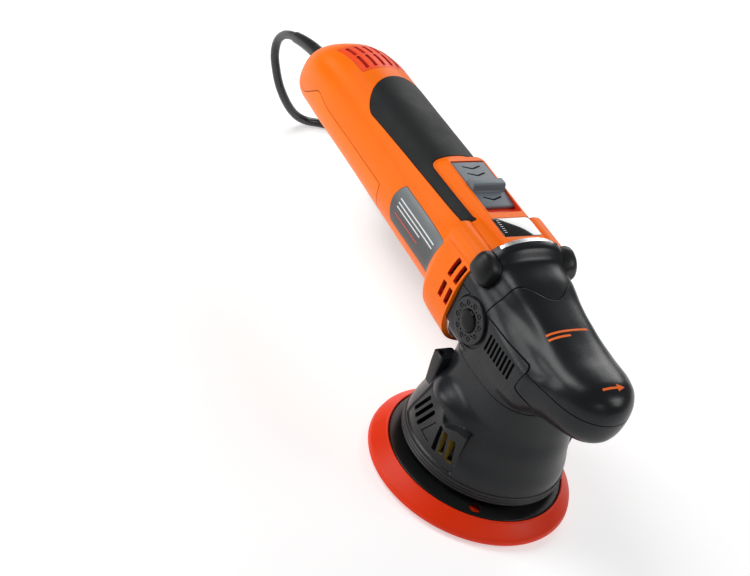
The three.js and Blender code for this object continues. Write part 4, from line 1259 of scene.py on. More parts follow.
def rear_vent():
    """Vent insert: two rows of five slots through it."""
    panel = cut(body_solid(finish=vent_plastic()), body_hollow())
    panel = common(panel, prism(vent_outline(GAP), "xy", MOTOR_Z, 175))
    slots = [
        prism(round_corners(rectangle(a, b, i * 6.8 - 1.35, i * 6.8 + 1.35), [0.7] * 4, 4), "xy", MOTOR_Z, 175, slot_plastic())
        for a, b in ((-282.6, -269.6), (-267.6, -251.6))
        for i in range(-2, 3)
    ]
    return cut(panel, *slots)


def grip_sleeve():
    """Rubber grip: a layer of the body that stands a little proud."""
    proud = bpy.context.scene.polisher_sizes.grip_proud / MM
    layer = body_layer(-proud, 1.3, grip_rubber())
    return common(layer, prism(grip_outline(GAP), "xy", MOTOR_Z, 175))


def side_label(side):
    layer = body_layer(-0.05, 0.5, label_plate())
    window = prism(label_outline(GAP), "xz", min(0, side * 60), max(0, side * 60))
    return common(layer, window)


def printed(side, outlines, finish):
    """Flat marks on a side label, a hair proud of it."""
    marks = [prism(outline, "xz", side * 25, side * 60, finish) for outline in outlines]
    return common(join(marks[0], *marks[1:]), body_layer(-0.1, 0.3, finish))


def label_print(side):
    """Plain printed rules on a label: three white ones over one red one."""
    white = [rectangle(-137, -137 + w, z, z + 1.1) for w, z in ((50, 129), (50, 125.6), (34, 122.2))]
    red = [rectangle(-137, -103, 116.6, 117.5)]
    return join(printed(side, white, white_ink()), printed(side, red, red_ink()))


def display_lens():
    outline = rectangle(LENS_REAR + GAP, LENS_FRONT - GAP, GAP - LENS_HALF, LENS_HALF - GAP)
    lens = prism(round_corners(outline, [1] * 4), "xy", ISLAND_TOP - LENS_DEPTH + GAP, ISLAND_TOP, lens_plastic())
    return bevelled(lens, 0.25, 2)


def display_ticks():
    """A plain ladder of equal printed ticks along the lens's right edge."""
    low, high = ISLAND_TOP - 0.1, ISLAND_TOP + 0.06
    marks = [block(x, x + 0.5, -13.4, -11.2, low, high, white_ink()) for x in np.arange(-68.5, -54.5, 2.0)]
    return join(marks[0], *marks[1:])


def cap_solid(side, gap, finish=None):
    """Rubber cap on the front of a screw tunnel: a rounded square that draws in to a blunt nose."""
    y, z = side * (TUNNEL_Y + 2.4), TUNNEL_Z + 1.6
    angle = turn(72)
    t = np.linspace(0, np.pi / 2, 14)
    x = np.concatenate([[FLANGE_X + GAP, -43.4, -40.5], -39 + (10.6 + gap) * np.sin(t)])
    full = TUNNEL_R + 0.5 + gap
    reach = np.concatenate([[full - 1.2, full - 0.2, full], 3.6 + (full - 3.6) * np.cos(t) ** 0.8])
    radius = (np.abs(np.cos(angle)) ** 2.7 + np.abs(np.sin(angle)) ** 2.7) ** (-1 / 2.7)
    turned = angle + side * 0.35
    drop = 0.28 * (x + 40).clip(0)
    rings = np.stack(
        [
            np.broadcast_to(x[:, None], (len(x), 72)),
            y + reach[:, None] * (radius * np.cos(turned))[None, :],
            z - drop[:, None] + reach[:, None] * (radius * np.sin(turned))[None, :],
        ],
        axis=-1,
    )
    return skin("cap", rings, finish)


def rubber_cap(side):
    return cap_solid(side, 0.0, cap_rubber())


# ---- Switch -------------------------------------------------------------------------------------


def chevron(x, half=7.6, deep=2.6, thick=1.2):
    """A V in plan that points towards the nose."""
    return np.array(
        [
            [x, -half],
            [x + deep, 0],
            [x, half],
            [x + thick, half],
            [x + deep + thick * 1.3, 0],
            [x + thick, -half],
        ]
    )


def switch_button():
    """Slide button: rear plate, raised ridge with a sloped front, and a lower front plate."""
    low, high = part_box("switch_slider")
    rear, front, half = low[0] / MM, high[0] / MM, high[1] / MM
    base, top = low[2] / MM, ISLAND_TOP
    side = [
        [rear, base],
        [front, base],
        [front, top - 2.0],
        [-99.5, top - 0.9],
        [-101.5, top + 4.4],
        [-108.2, top + 4.4],
        [-109.6, top + 0.3],
        [rear, top + 0.1],
    ]
    outline = round_corners(side, [0.1, 0.1, 1.2, 1.2, 1.2, 1.5, 1.0, 1.0], 5)
    button = prism(outline, "xz", -half, half, switch_plastic())
    button = bevelled(button, 0.6, 3, 50)
    marks = [prism(chevron(x), "xy", top - 0.45, 175, mark_black()) for x in (-126.5, -119)]
    marks.append(prism(chevron(-95), "xy", top - 2.4, top + 1.0, mark_black()))
    return cut(button, *marks)


# ---- Gear head -----------------------------------------------------------------------------------


HEAD_REAR = -45.6
NECK_TOP = 112.0


def head_solid(inset=0.0, start=HEAD_REAR, stop=NOSE_X, finish=None):
    """Outside of the head: the long loft, and the upright neck that carries on the shroud."""
    long_part = skin("head", head_rings(inset, start, stop), finish)
    low = 92.3 + (0 if inset <= 0 else -1)
    high = NECK_TOP - max(inset, 0)
    z = np.array([low, high - 6, high - 3, high - 1, high])[:, None]
    shrink = inset + np.array([0, 0, 0.8, 2.6, 5.2])[:, None]
    angle = turn(180)[None, :]
    reach = np.where(np.cos(angle) > 0, 44.5, 41.0) - shrink
    radius = ((np.abs(np.cos(angle)) / reach) ** 3 + (np.abs(np.sin(angle)) / (39.8 - shrink)) ** 3) ** (-1 / 3)
    x, y = radius * np.cos(angle), radius * np.sin(angle)
    neck = skin("neck", np.stack([x, y, np.broadcast_to(z, x.shape)], -1), finish)
    return join(long_part, neck)


def side_outline(gap):
    """Side view of a side cover, [x, z]."""
    corners = [
        [-50, 90],
        [-50, 132 - gap],
        [36 - gap, 132 - gap],
        [38.5 - gap, 129 - gap],
        [36 - gap, 114 - gap],
        [52, 110 - gap],
        [52, 90],
    ]
    return round_corners(corners, [0.3, 0.3, 2, 1.5, 3, 0.3, 0.3])


def side_room(side):
    region = prism(side_outline(0), "xz", side * 28, side * 60)
    return join(region, rod("y", *sorted((side * 28, side * 60)), 16.8, BOSS, count=72))


def wave_outline(shift):
    """Plan of everything ahead of the wavy seam between head cover and nose."""
    y = np.linspace(-50, 50, 161)
    reach = np.abs(y)
    x = shift - 0.6 - 14.6 * eased(reach, 0.5, 25)
    wave = np.stack([x, y], 1)
    return np.vstack([wave, [[110, 50], [110, -50]]])


BAND_HALF = 24.0


def band_rooms(gap):
    """Where the cast flange shows: an arc on top and a tab low on each side."""
    arc = block(-47, -42.4 + gap, -BAND_HALF - gap, BAND_HALF + gap, 150, 180)
    tabs = [block(-47, -41 + gap, *sorted((side * 25, side * 50)), 85, 101 + gap) for side, _ in SIDES]
    return [arc, *tabs]


def head_shell():
    """The hollow head without its side covers."""
    shell = head_solid(finish=head_plastic())
    room = head_solid(HEAD_WALL, -47.0, 86.0)
    return cut(
        shell,
        room,
        block(-48, 34, -30, 30, 80, 100),
        rod("z", 80, 100, 30, (10, 0)),
        side_room(-1),
        side_room(1),
        *band_rooms(GAP),
    )


CHIN_Z = 128.0


def head_covers():
    """Head cover, nose cap and chin, cut from one hollow head along their seams."""
    whole = head_shell()
    caps = [cap_solid(side, GAP) for side, _ in SIDES]
    cover = cut(copied(whole), prism(wave_outline(-SEAM / 2), "xy", 60, 190), *caps)
    nose = common(whole, prism(wave_outline(SEAM / 2), "xy", 60, 190))
    chin = common(copied(nose), block(-60, 110, -60, 60, 60, CHIN_Z - SEAM))
    cap = common(nose, block(-60, 110, -60, 60, CHIN_Z, 190))
    return biggest_part(cover), biggest_part(cap), biggest_part(chin)


def biggest_part(piece):
    """Keeps the connected part of a mesh with the most corners."""
    mesh = piece.data
    count = len(mesh.vertices)
    edges = np.zeros(len(mesh.edges) * 2, np.int32)
    mesh.edges.foreach_get("vertices", edges)
    edges = edges.reshape(-1, 2)
    label = np.arange(count)
    while True:
        least = np.minimum(label[edges[:, 0]], label[edges[:, 1]])
        new = label.copy()
        np.minimum.at(new, edges[:, 0], least)
        np.minimum.at(new, edges[:, 1], least)
        new = new[new]
        if (new == label).all():
            break
        label = new
    keep = label == np.bincount(label).argmax()
    if keep.all():
        return piece
    import bmesh

    work = bmesh.new()
    work.from_mesh(mesh)
    work.verts.ensure_lookup_table()
    bmesh.ops.delete(work, geom=[v for v in work.verts if not keep[v.index]], context="VERTS")
    work.to_mesh(mesh)
    work.free()
    return piece


def slab(side, outer, inner):
    return sorted((side * (SIDE_Y - outer), side * (SIDE_Y - inner)))


def side_cover(side):
    """Side cover: a shallow tray with a handle boss, a ring of marks cut as dimples and eight slots. The groove
    round the boss and the dimples have black walls: painted shade.
    """
    tray = prism(side_outline(SEAM), "xz", side * 28.3, side * 60, head_plastic())
    tray = common(tray, head_solid(-0.15, finish=head_plastic()))
    # A real gap round the boss, set off centre so that it is widest towards the nose, with black walls: a painted
    # shadow under the boss's front edge.
    crescent_shadow_groove = cut(
        rod("y", *slab(side, -2, 1.5), 18.4, BOSS + [1.3, 0.3], mark_black(), 96),
        rod("y", *slab(side, -4, 3), 16.5, BOSS, None, 96),
    )
    tabs = [block(-47, -41 + GAP, *sorted((side * 25, side * 50)), 85, 101 + GAP)]
    tray = biggest_part(cut(tray, head_solid(HEAD_WALL, -47, 86), crescent_shadow_groove, *tabs))
    bend = np.linspace(0, np.pi / 2, 6)
    rim = np.stack([15.7 + 0.8 * np.cos(bend), SIDE_Y + 0.8 + 0.8 * np.sin(bend)], 1)
    profile = np.vstack([[[16.5, SIDE_Y - 6]], rim, [[13, SIDE_Y + 1.6], [1, SIDE_Y + 1.6]]])
    profile[:, 1] *= side
    boss = skin("boss", lathe_rings(profile, BOSS, "y", 96), head_plastic())
    shell = join(tray, boss)
    # Rings and dots cut shallow into the boss, with black floors and walls: real dimples with painted shade in them.
    around = turn(10) + 0.31
    marks = []
    for angle in around:
        spot = BOSS + 12.3 * np.array([np.cos(angle), np.sin(angle)])
        zero = rod("y", *slab(side, -2.5, -0.9), 1.9, spot, mark_black(), 20)
        marks.append(cut(zero, rod("y", *slab(side, -4, 3), 0.95, spot, None, 16)))
        dot = BOSS + 10.6 * np.array([np.cos(angle + 0.314), np.sin(angle + 0.314)])
        marks.append(rod("y", *slab(side, -2.5, -0.9), 0.75, dot, mark_black(), 12))
    slots = [
        prism(round_corners(rectangle(x, x + 2.3, 112.5, 126), [1.0] * 4, 4), "xz", *slab(side, -3, 9), mark_black())
        for x in -2 + 4.0 * np.arange(8)
    ]
    return cut(shell, rod("y", *slab(side, -4, 4.6), 8.3, BOSS, mark_black(), 64), *marks, *slots)


def boss_plug(side):
    """Plug in the boss: fluted edge and a glossy dished dome."""
    angle = turn(120)
    flute = 1 - 0.035 * eased(np.cos(angle * 12), 0.2, 0.9)
    profile = np.array([[8, -4.2], [8, 1.4], [7.7, 2.2], [6.9, 2.7], [5.6, 2.9], [3.5, 3.1], [1.4, 3.2], [0.3, 3.2]])
    radius = profile[:, :1] * np.where(profile[:, 1:] > 0, flute[None, :], 1)
    x = BOSS[0] + radius * np.cos(angle)
    z = BOSS[1] + radius * np.sin(angle)
    y = np.broadcast_to(side * (SIDE_Y + profile[:, 1:]), x.shape)
    return skin("boss_plug", np.stack([x, y, z], -1), gloss_plug())


@kept
def gloss_plug():
    return moulded(
        "gloss_plug", (0.003, 0.003, 0.0032), 0.16, grain=0.00001, edge=0.0005, Specular_IOR_Level=0.12
    )


def flange_plate(half, up, down, finish):
    """Oval plate between motor and head, with softened edges."""
    angle = turn(144)
    radius = oval(half, up, down, 2.3, 3.4, angle)
    x = np.array([-45.7, -45.4, -42.6, -42.3])
    shrink = np.array([0.3, 0.0, 0.0, 0.3])
    rings = across_x(x[:, None], 124.0, radius[None, :] - shrink[:, None], angle[None, :])
    return skin("flange", rings, finish)


def gear_flange():
    """Cast gear case: the flange between motor and head, and the cup round the crown gear."""
    inner = flange_plate(36.8, 41.4, 28.0, cast_aluminium())
    edge = flange_plate(40.6, 45.3, 44.0, cast_aluminium())
    rooms = band_rooms(0)
    shown = common(edge, join(rooms[0], *rooms[1:]))
    notch = flange_plate(40.9, 45.6, 44.0, mark_black())
    shown = join(shown, common(notch, block(-47, -42, BAND_HALF - 2.2, BAND_HALF, 150, 180)))
    cup = skin("cup", lathe_rings([[30.1, 93], [30.1, 131], [28.5, 132]], (0, 0)), cast_aluminium())
    neck = rod("x", -44, -24, 19, (0, MOTOR_Z), cast_aluminium())
    collar = rod("z", 84, 96, 15.5, (0, 0), cast_aluminium())
    case = join(inner, shown, cup, neck, collar)
    return cut(
        case,
        rod("x", -50, -29, 14.3, (0, MOTOR_Z)),
        rod("x", -35, 0, 11, (0, MOTOR_Z)),
        rod("z", 96, 128.5, 27.4, (0, 0)),
        rod("z", 120, 140, 9.6, (0, 0)),
        rod("z", 80, 100, 12.6, (0, 0)),
    )


def nose_marks():
    """Plain orange marks on top of the nose: two unbroken stripes, and an arrow towards +Y."""
    stripes = [
        prism(rectangle(x, x + 1.6, NOSE_MARK_RIGHT, left), "xy", 140, 160, orange_ink())
        for x, left in ((23.4, 13.0), (27.2, -4.0))
    ]
    x = 76.6
    arrow = [[x - 0.8, -9], [x - 0.8, 3], [x - 2.6, 3], [x, 9.5], [x + 2.6, 3], [x + 0.8, 3], [x + 0.8, -9]]
    marks = join(*stripes, prism(arrow, "xy", 128, 160, orange_ink()))
    layer = cut(head_solid(-0.07), head_solid(0.2, -46, 90.8))
    return common(marks, layer)


# ---- Shroud and skirt --------------------------------------------------------------------------------


def shroud_slots(side):
    """Openings in a vent panel: three leaning slots, a bent line and three upright slots."""

    def hole(outline, corner, finish):
        return prism(round_corners(outline, corner, 5), "xz", side * 34, side * 70, finish)

    tools = []
    lean = 6.6
    for x, low in ((-26.5, 36.5), (-20.2, 35.9), (-13.8, 35.3)):
        outline = [[x, low], [x + 3.6, low - 0.3], [x + 3.6 + lean, low + 16.6], [x + lean, low + 17]]
        tools.append(hole(outline, [1.7] * 4, mark_black()))
    line = [[1.8, 50], [2.6, 50], [-4.0, 36.7], [5.7, 35.8], [5.7, 35], [-5.3, 35.9]]
    tools.append(hole(line, [0.2] * 6, mark_black()))
    for x, low, wide, high, finish in (
        (10.4, 34, 3.8, 53, mark_black),
        (15.6, 36, 4.6, 53, slot_brass),
        (22.2, 35, 5.2, 52, slot_brass),
    ):
        outline = [[x, low], [x + wide, low], [x + wide - 3, high], [x - 3, high]]
        tools.append(hole(outline, [1.5] * 4, finish()))
    return tools


def shroud_shell():
    """Shroud: hollow, with sunk vent panels, screw ears and a seat for the skirt."""
    shell = skin("shroud", shroud_rings(0, 27, HEAD_Z - SEAM / 2, True, 540), head_plastic())
    ears = []
    for side, _ in SIDES:
        levels = np.array([[54, 2, 0], [70, 0.5, 0], [79.2, 0, 0], [80, 0.8, 0]])
        rings = []
        for z, shrink, _ in levels:
            box = rectangle(-38 + shrink, -27, *sorted((side * 30, side * (45 - shrink))))
            flat = round_corners(box, [2.2] * 4, 5)
            rings.append(np.column_stack([flat, np.full(len(flat), z)]))
        ears.append(skin("ear", np.array(rings), head_plastic()))
    shell = join(shell, *ears)
    holes = [rod("z", 72, 90, 2.5, (-33.2, side * 40.9), mark_black(), 32) for side, _ in SIDES]
    slots = [tool for side, _ in SIDES for tool in shroud_slots(side)]
    flat_back = block(-60, -41.9, -33, 33, 70, 95)
    room = skin("room", shroud_rings(3.2, 20, HEAD_Z + 2, False, 180))
    return cut(shell, room, flat_back, *holes, *slots)


def skirt_ring():
    """Skirt under the shroud: three round ridges between fine grooves."""
    z = np.linspace(19.7, 27 - GAP, 64)
    phase = (z - 19.7) / (27 - GAP - 19.7)
    ridges = 0.9 * np.abs(np.sin(np.pi * 3 * phase)) ** 0.55
    radius = 58.7 + ridges
    outer = np.stack([radius, z], 1)
    inner = np.stack([np.full(8, 56.2), np.linspace(27 - GAP, 19.7, 8)], 1)
    return hoop("skirt", lathe_rings(np.vstack([outer, inner]), (0, 0), "z", 192), skirt_rubber())


# ---- Backing plate ---------------------------------------------------------------------------------


def arc_points(centre, radius, start, stop, count=8):
    bend = np.radians(np.linspace(start, stop, count))
    return np.stack([centre[0] + radius * np.cos(bend), centre[1] + radius * np.sin(bend)], 1)


def plate_cushion():
    """Cushion: a low cone with a rounded rim and a small raised lip round the hard core."""
    top = 15.8
    slope = np.linspace(0, 1, 24)
    cone_r = 74.2 - (74.2 - 65.6) * slope
    cone_z = 7.2 + (top - 0.5 - 7.2) * (slope**0.92)
    profile = np.vstack(
        [
            [[9, 1.9], [72.5, 1.9]],
            arc_points((72.6, 4.3), 2.4, -90, 12, 12),
            np.stack([cone_r, cone_z], 1),
            arc_points((64.9, 15.3), 0.75, 45, 180, 8),
            [[63.95, 14.8], [63.9, 12.4], [61.5, 12.4], [61.2, 12.4], [9, 12.4]],
        ]
    )
    return hoop("cushion", lathe_rings(profile, plate_centre(), "z", 192), cushion_foam())


def plate_core():
    """Hard core: a flat disc with a rounded edge and a raised hub, and three round windows."""
    profile = np.vstack(
        [
            [[8.3, 12.7], [63.2, 12.7]],
            arc_points((62.9, 15.3), 0.7, 0, 90, 6),
            [[60.5, 16.0], [57.2, 15.8], [40, 15.8], [26, 15.9]],
            arc_points((26, 24), 8, -90, -150, 10),
            [[18, 21], [16, 22.6], [14, 23], [8.3, 23]],
        ]
    )
    core = hoop("core", lathe_rings(profile, plate_centre(), "z", 192), core_plastic())
    holes = [
        rod("z", 12, 25, 4.4, plate_centre() + 55.6 * np.array([math.cos(a), math.sin(a)]), None, 40)
        for a in -0.55 + turn(3)
    ]
    return cut(core, *holes)


def hook_disc():
    """Hook layer with a slightly torn-in edge."""
    profile = np.vstack([[[5, 0.0], [71.0, 0.0]], arc_points((71.0, 0.5), 0.5, -90, 0, 4), [[71.5, 1.6], [5, 1.6]]])
    return hoop("hooks", lathe_rings(profile, plate_centre(), "z", 128), hook_tape())


# ---- Speed wheel and screws ---------------------------------------------------------------------------


def speed_wheel():
    """Thumb wheel: a fluted disc with rounded edges."""
    low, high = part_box("speed_wheel")
    centre = np.array([low[0] + high[0], low[1] + high[1]]) / (2 * MM)
    z0, z1 = low[2] / MM, high[2] / MM
    angle = turn(168)
    flute = 0.75 * eased(np.cos(angle * 28), -0.3, 0.8)
    profile = np.array([[9.6, z0], [10.6, z0 + 0.15], [11, z0 + 0.8], [11, z1 - 0.8], [10.6, z1 - 0.15], [9.6, z1]])
    radius = profile[:, :1] - flute[None, :] * (profile[:, :1] > 10)
    x, y = centre[0] + radius * np.cos(angle), centre[1] + radius * np.sin(angle)
    z = np.broadcast_to(profile[:, 1:], x.shape)
    wheel = skin("wheel", np.stack([x, y, z], -1), dark_plastic())
    return cut(wheel, rod("z", z0 - 2, z1 + 2, 2.3, centre, None, 24))


def screw_heads():
    """Pan heads with a six-lobed socket at the ears."""
    spots = [((-33.2, side * 40.9), 76.5) for side, _ in SIDES]
    heads = []
    for centre, z in spots:
        profile = [[2.2, z - 6], [2.2, z - 0.6], [2.0, z], [0.4, z + 0.1]]
        head = skin("screw", lathe_rings(profile, centre, "z", 32), ground_steel())
        angle = turn(48)
        lobes = 0.85 + 0.28 * np.cos(angle * 6)
        star = np.asarray(centre) + np.stack([lobes * np.cos(angle), lobes * np.sin(angle)], 1)
        heads.append(cut(head, prism(star, "xy", z - 0.9, z + 3)))
    return heads


# ---- Settings ------------------------------------------------------------------------------------------


class StageSettings(bpy.types.PropertyGroup):
    camera_place: bpy.props.FloatVectorProperty(
        name="Camera place",
        description="Where the camera stands",
        default=(0.7228, -0.8403, 0.8718),
        subtype="TRANSLATION",
        unit="LENGTH",
    )
    focal_length: bpy.props.FloatProperty(
        name="Focal length", description="Lens, for a 36 mm wide sensor", default=96.0, unit="CAMERA"
    )
    key_power: bpy.props.FloatProperty(
        name="Key light", description="Power of the large soft light", default=11.5, unit="POWER"
    )
    glare_power: bpy.props.FloatProperty(
        name="Glare light", description="Power of the light seen in the lens", default=12.5, unit="POWER"
    )
    sky: bpy.props.FloatProperty(
        name="Room light", description="Strength of the even light all round", default=0.13, min=0.0
    )


def part_colour(name, description, default):
    return bpy.props.FloatVectorProperty(
        name=name, description=description, default=default, subtype="COLOR", size=3, min=0.0, max=1.0
    )


class ColourSettings(bpy.types.PropertyGroup):
    housing: part_colour("Housing", "Plastic of the motor housing", (1.0, 0.165, 0.0))
    cover: part_colour("Handle cover", "Plastic of the lower handle cover", (1.0, 0.19, 0.001))
    head: part_colour("Head", "Plastic of the gear head and shroud", (0.0105, 0.0118, 0.0138))
    cushion: part_colour("Cushion", "Foam ring of the backing plate", (0.88, 0.034, 0.0))


class SizeSettings(bpy.types.PropertyGroup):
    seam: bpy.props.FloatProperty(
        name="Handle cover seam",
        description="Width of the seam round the lower handle cover",
        default=SEAM * MM,
        unit="LENGTH",
    )
    grip_proud: bpy.props.FloatProperty(
        name="Grip height", description="How far the grip stands proud", default=0.00035, unit="LENGTH"
    )


class CordSettings(bpy.types.PropertyGroup):
    radius: bpy.props.FloatProperty(
        name="Radius", description="Half the cord's thickness", default=CORD_R * MM, unit="LENGTH"
    )


SETTINGS = (StageSettings, ColourSettings, SizeSettings, CordSettings)

# ---- Operators ---------------------------------------------------------------------------------------


class PieceOperator:
    """What the operators share: undo, and the settings of the scene."""

    bl_options = {"REGISTER", "UNDO"}


class POLISHER_OT_stage(PieceOperator, bpy.types.Operator):
    """Camera, soft lights and a plain pale floor"""

    bl_idname = "polisher.stage"
    bl_label = "Stage"

    def execute(self, context):
        settings = context.scene.polisher_stage
        scene = context.scene
        data = bpy.data.cameras.new("camera")
        data.lens = settings.focal_length
        data.sensor_width = 36.0
        data.clip_end = 50.0
        camera = bpy.data.objects.new("camera", data)
        right = Vector((0.4548, 0.8234, 0.3395))
        up = Vector((-0.6627, 0.0582, 0.7466))
        back = Vector((0.595, -0.5645, 0.5721))
        turned = Matrix((right, up, back)).transposed().to_4x4()
        camera.matrix_world = Matrix.Translation(settings.camera_place) @ turned
        scene.collection.objects.link(camera)
        scene.camera = camera
        floor = new_object(
            "floor",
            np.array([[-9000, -9000, 0], [9000, -9000, 0], [9000, 9000, 0], [-9000, 9000, 0]]),
            [[0, 1, 2, 3]],
            pale_floor(),
        )
        power = settings.key_power
        self.add_light(scene, "key", (-0.7, -0.7, 1.3), (0.0, 0.0, 0.1), 0.8, power)
        self.add_light(scene, "front", (1.5, -0.35, 0.9), (0.0, 0.0, 0.1), 0.5, power * 0.14)
        self.add_light(scene, "side", (-0.8, -1.3, 0.55), (-0.03, 0.0, 0.08), 0.7, power * 0.6)
        self.add_light(scene, "nose", (0.75, 0.85, 1.05), (-0.03, 0.0, 0.16), 0.6, power * 0.5)
        self.add_glare(scene, np.array(settings.camera_place), settings.glare_power)
        world = bpy.data.worlds.new("room")
        world.use_nodes = True
        background = world.node_tree.nodes["Background"]
        background.inputs["Color"].default_value = (1, 1, 1, 1)
        background.inputs["Strength"].default_value = settings.sky
        scene.world = world
        scene.view_settings.view_transform = "Standard"
        scene.view_settings.look = "None"
        return {"FINISHED"}

    @staticmethod
    def add_glare(scene, eye, power):
        """Soft box seen in the display lens, its edge running across the lens from corner to corner."""
        spots = np.array([[-70.5, -5, ISLAND_TOP], [-52, 15.5, ISLAND_TOP], [-70, 15, ISLAND_TOP]]) * MM
        rays = (spots - eye) * [1, 1, -1]
        seen = spots + 1.4 * rays / np.linalg.norm(rays, axis=1, keepdims=True)
        middle = (seen[0] + seen[1]) / 2
        along = Vector(seen[1] - seen[0]).normalized()
        inward = Vector(seen[2] - middle)
        inward = (inward - along * inward.dot(along)).normalized()
        away = along.cross(inward)
        if away.dot(Vector(middle)) < 0:
            along, away = -along, -away
        long_side, short_side = 1.1, 0.75
        data = bpy.data.lights.new("glare", "AREA")
        data.shape = "RECTANGLE"
        data.size, data.size_y = long_side, short_side
        data.energy = power
        lamp = bpy.data.objects.new("glare", data)
        place = Vector(middle) + inward * (short_side / 2)
        turned = Matrix((along, inward, away)).transposed().to_4x4()
        lamp.matrix_world = Matrix.Translation(place) @ turned
        scene.collection.objects.link(lamp)

    @staticmethod
    def add_light(scene, name, place, target, size, power):
        data = bpy.data.lights.new(name, "AREA")
        data.shape = "DISK"
        data.size = size
        data.energy = power
        lamp = bpy.data.objects.new(name, data)
        aim = Vector(target) - Vector(place)
        lamp.matrix_world = Matrix.Translation(place) @ aim.to_track_quat("-Z", "Y").to_matrix().to_4x4()
        scene.collection.objects.link(lamp)


class POLISHER_OT_cord(PieceOperator, bpy.types.Operator):
    """Supply cord with its strain relief, stored hank, tie and plug"""

    bl_idname = "polisher.cord"
    bl_label = "Supply cord"

    def execute(self, context):
        radius = context.scene.polisher_cord.radius / MM
        sleeve = finished(relief_sleeve(), "cord_sleeve", "housing", ["strain_relief"])
        cord = round_curve("mains_cord", cord_line(), radius, cord_rubber())
        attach(cord, "housing")
        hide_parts("supply_cord", "cord_hank", "plug_lead")
        tie = finished(tie_loop(), "cord_tie", "housing", ["hank_tie"])
        plug = finished(plug_body(), "cord_plug", "housing", ["mains_plug"])
        pins = finished(plug_contacts(), "cord_plug_pins", "housing", ["plug_pins"])
        return {"FINISHED"}


class POLISHER_OT_housing(PieceOperator, bpy.types.Operator):
    """Motor housing, lower handle cover and rear vent insert"""

    bl_idname = "polisher.housing"
    bl_label = "Motor housing"

    def execute(self, context):
        finished(housing_shell(), "housing_shell", "housing", ["motor_housing"])
        finished(cover_shell(), "handle_cover", "housing", ["lower_handle_cover"])
        finished(rear_vent(), "vent_insert", "housing", ["rear_vent_panel"])
        return {"FINISHED"}


class POLISHER_OT_grip(PieceOperator, bpy.types.Operator):
    """Rubber grip and the two rubber caps"""

    bl_idname = "polisher.grip"
    bl_label = "Rubber parts"

    def execute(self, context):
        finished(grip_sleeve(), "rubber_grip", "housing", ["grip_sleeve"])
        for side, tag in SIDES:
            cap = rubber_cap(side)
            finished(cap, "rubber_cap_" + tag, "housing", ["boss_cap_" + tag])
        return {"FINISHED"}


class POLISHER_OT_labels(PieceOperator, bpy.types.Operator):
    """Side labels and the display lens, with their print"""

    bl_idname = "polisher.labels"
    bl_label = "Labels and display"

    def execute(self, context):
        for side, tag in SIDES:
            finished(side_label(side), "label_" + tag, "housing", ["badge_" + tag])
            finished(label_print(side), "label_print_" + tag, "housing")
        finished(display_lens(), "display_lens", "housing", ["display_window"])
        finished(display_ticks(), "display_ticks", "housing")
        return {"FINISHED"}


class POLISHER_OT_switch(PieceOperator, bpy.types.Operator):
    """Slide button and speed wheel"""

    bl_idname = "polisher.switch"
    bl_label = "Controls"

    def execute(self, context):
        finished(switch_button(), "slide_button", "switch", ["switch_slider"])
        finished(speed_wheel(), "thumb_wheel", "speed_dial", ["speed_wheel"])
        return {"FINISHED"}


class POLISHER_OT_head(PieceOperator, bpy.types.Operator):
    """Gear case flange, head cover, nose, chin and side covers"""

    bl_idname = "polisher.head"
    bl_label = "Gear head"

    def execute(self, context):
        cover, nose, chin = head_covers()
        finished(cover, "head_shell", "housing", ["head_cover"])
        finished(nose, "nose_shell", "housing", ["nose_cap"])
        finished(chin, "chin_shell", "housing", ["nose_chin"])
        finished(nose_marks(), "nose_marks", "housing")
        finished(gear_flange(), "gear_flange", "housing", ["gear_case"])
        for side, tag in SIDES:
            cover = side_cover(side)
            finished(cover, "side_shell_" + tag, "housing", ["side_cover_" + tag])
            plug = boss_plug(side)
            finished(plug, "boss_button_" + tag, "housing", ["boss_plug_" + tag])
        return {"FINISHED"}


class POLISHER_OT_shroud(PieceOperator, bpy.types.Operator):
    """Shroud, skirt and the screws in the shroud's ears"""

    bl_idname = "polisher.shroud"
    bl_label = "Shroud"

    def execute(self, context):
        finished(shroud_shell(), "shroud_shell", "housing", ["shroud"])
        finished(skirt_ring(), "ribbed_skirt", "housing", ["skirt_ring"])
        for (_, tag), head in zip(SIDES, screw_heads()):
            finished(head, "ear_screw_" + tag, "housing")
        return {"FINISHED"}


class POLISHER_OT_plate(PieceOperator, bpy.types.Operator):
    """Backing plate: hook layer, cushion and hard core"""

    bl_idname = "polisher.plate"
    bl_label = "Backing plate"

    def execute(self, context):
        finished(plate_cushion(), "cushion_ring", "plate", ["plate_cushion"])
        finished(plate_core(), "hard_core", "plate", ["plate_core"])
        finished(hook_disc(), "hook_layer", "plate", ["hook_face"])
        return {"FINISHED"}


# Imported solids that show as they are, and the finish of each.
INNER_FINISHES = (
    (laminated_iron, ("stator_core", "armature_core")),
    (wound_copper, ("field_coil_front", "field_coil_rear")),
    (commutator_copper, ("commutator",)),
    (motor_steel, ("front_motor_bearing", "rear_motor_bearing", "armature_shaft", "drive_pinion")),
    (
        ground_steel,
        (
            "upper_spindle_bearing",
            "lower_spindle_bearing",
            "spindle",
            "crown_gear",
            "eccentric_hub",
            "pad_bearing",
            "plate_shaft",
            "plate_bolt",
        ),
    ),
    (plain_brass, ("counterweight", "brush_holder_right", "brush_holder_left")),
    (pressed_carbon, ("carbon_brush_right", "carbon_brush_left")),
    (circuit_board, ("control_board",)),
    (
        dark_plastic,
        ("rear_bearing_bridge", "fan", "switch_link", "power_switch", "speed_potentiometer", "cord_clamp"),
    ),
)


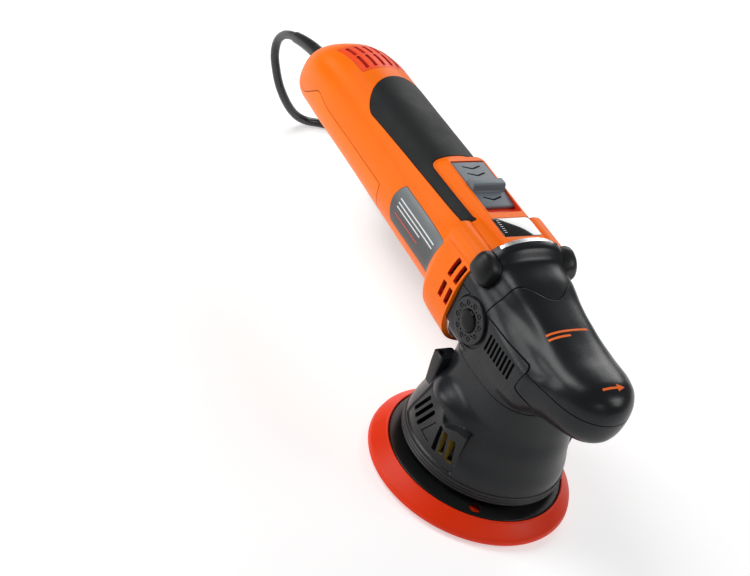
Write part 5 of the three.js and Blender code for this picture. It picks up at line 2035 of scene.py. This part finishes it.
class POLISHER_OT_inner(PieceOperator, bpy.types.Operator):
    """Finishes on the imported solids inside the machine"""

    bl_idname = "polisher.inner"
    bl_label = "Inner parts"

    def execute(self, context):
        for finish, names in INNER_FINISHES:
            for name in names:
                slots = NODES[name].material_slots
                for slot in slots:
                    slot.material = finish()
        return {"FINISHED"}


OPERATORS = (
    POLISHER_OT_stage,
    POLISHER_OT_cord,
    POLISHER_OT_housing,
    POLISHER_OT_grip,
    POLISHER_OT_labels,
    POLISHER_OT_switch,
    POLISHER_OT_head,
    POLISHER_OT_shroud,
    POLISHER_OT_plate,
    POLISHER_OT_inner,
)


class POLISHER_PT_panel(bpy.types.Panel):
    """Buttons for each group of pieces, and their settings"""

    bl_idname = "POLISHER_PT_panel"
    bl_label = "Polisher"
    bl_space_type = "VIEW_3D"
    bl_region_type = "UI"
    bl_category = "Polisher"

    def draw(self, context):
        column = self.layout.column()
        for operator in OPERATORS:
            column.operator(operator.bl_idname)
        scene = context.scene
        for group in (scene.polisher_stage, scene.polisher_colours, scene.polisher_sizes, scene.polisher_cord):
            for name in group.bl_rna.properties.keys():
                if name not in ("rna_type", "name"):
                    column.prop(group, name)


CLASSES = (*SETTINGS, *OPERATORS, POLISHER_PT_panel)


def register():
    for item in CLASSES:
        bpy.utils.register_class(item)
    bpy.types.Scene.polisher_stage = bpy.props.PointerProperty(type=StageSettings)
    bpy.types.Scene.polisher_colours = bpy.props.PointerProperty(type=ColourSettings)
    bpy.types.Scene.polisher_sizes = bpy.props.PointerProperty(type=SizeSettings)
    bpy.types.Scene.polisher_cord = bpy.props.PointerProperty(type=CordSettings)


def unregister():
    del bpy.types.Scene.polisher_cord
    del bpy.types.Scene.polisher_sizes
    del bpy.types.Scene.polisher_colours
    del bpy.types.Scene.polisher_stage
    for item in reversed(CLASSES):
        bpy.utils.unregister_class(item)


def main():
    register()
    for operator in OPERATORS:
        group, name = operator.bl_idname.split(".")
        result = getattr(getattr(bpy.ops, group), name)()
        if result != {"FINISHED"}:
            raise RuntimeError(f"{operator.bl_idname} gave {result}")


if __name__ == "__main__":
    main()
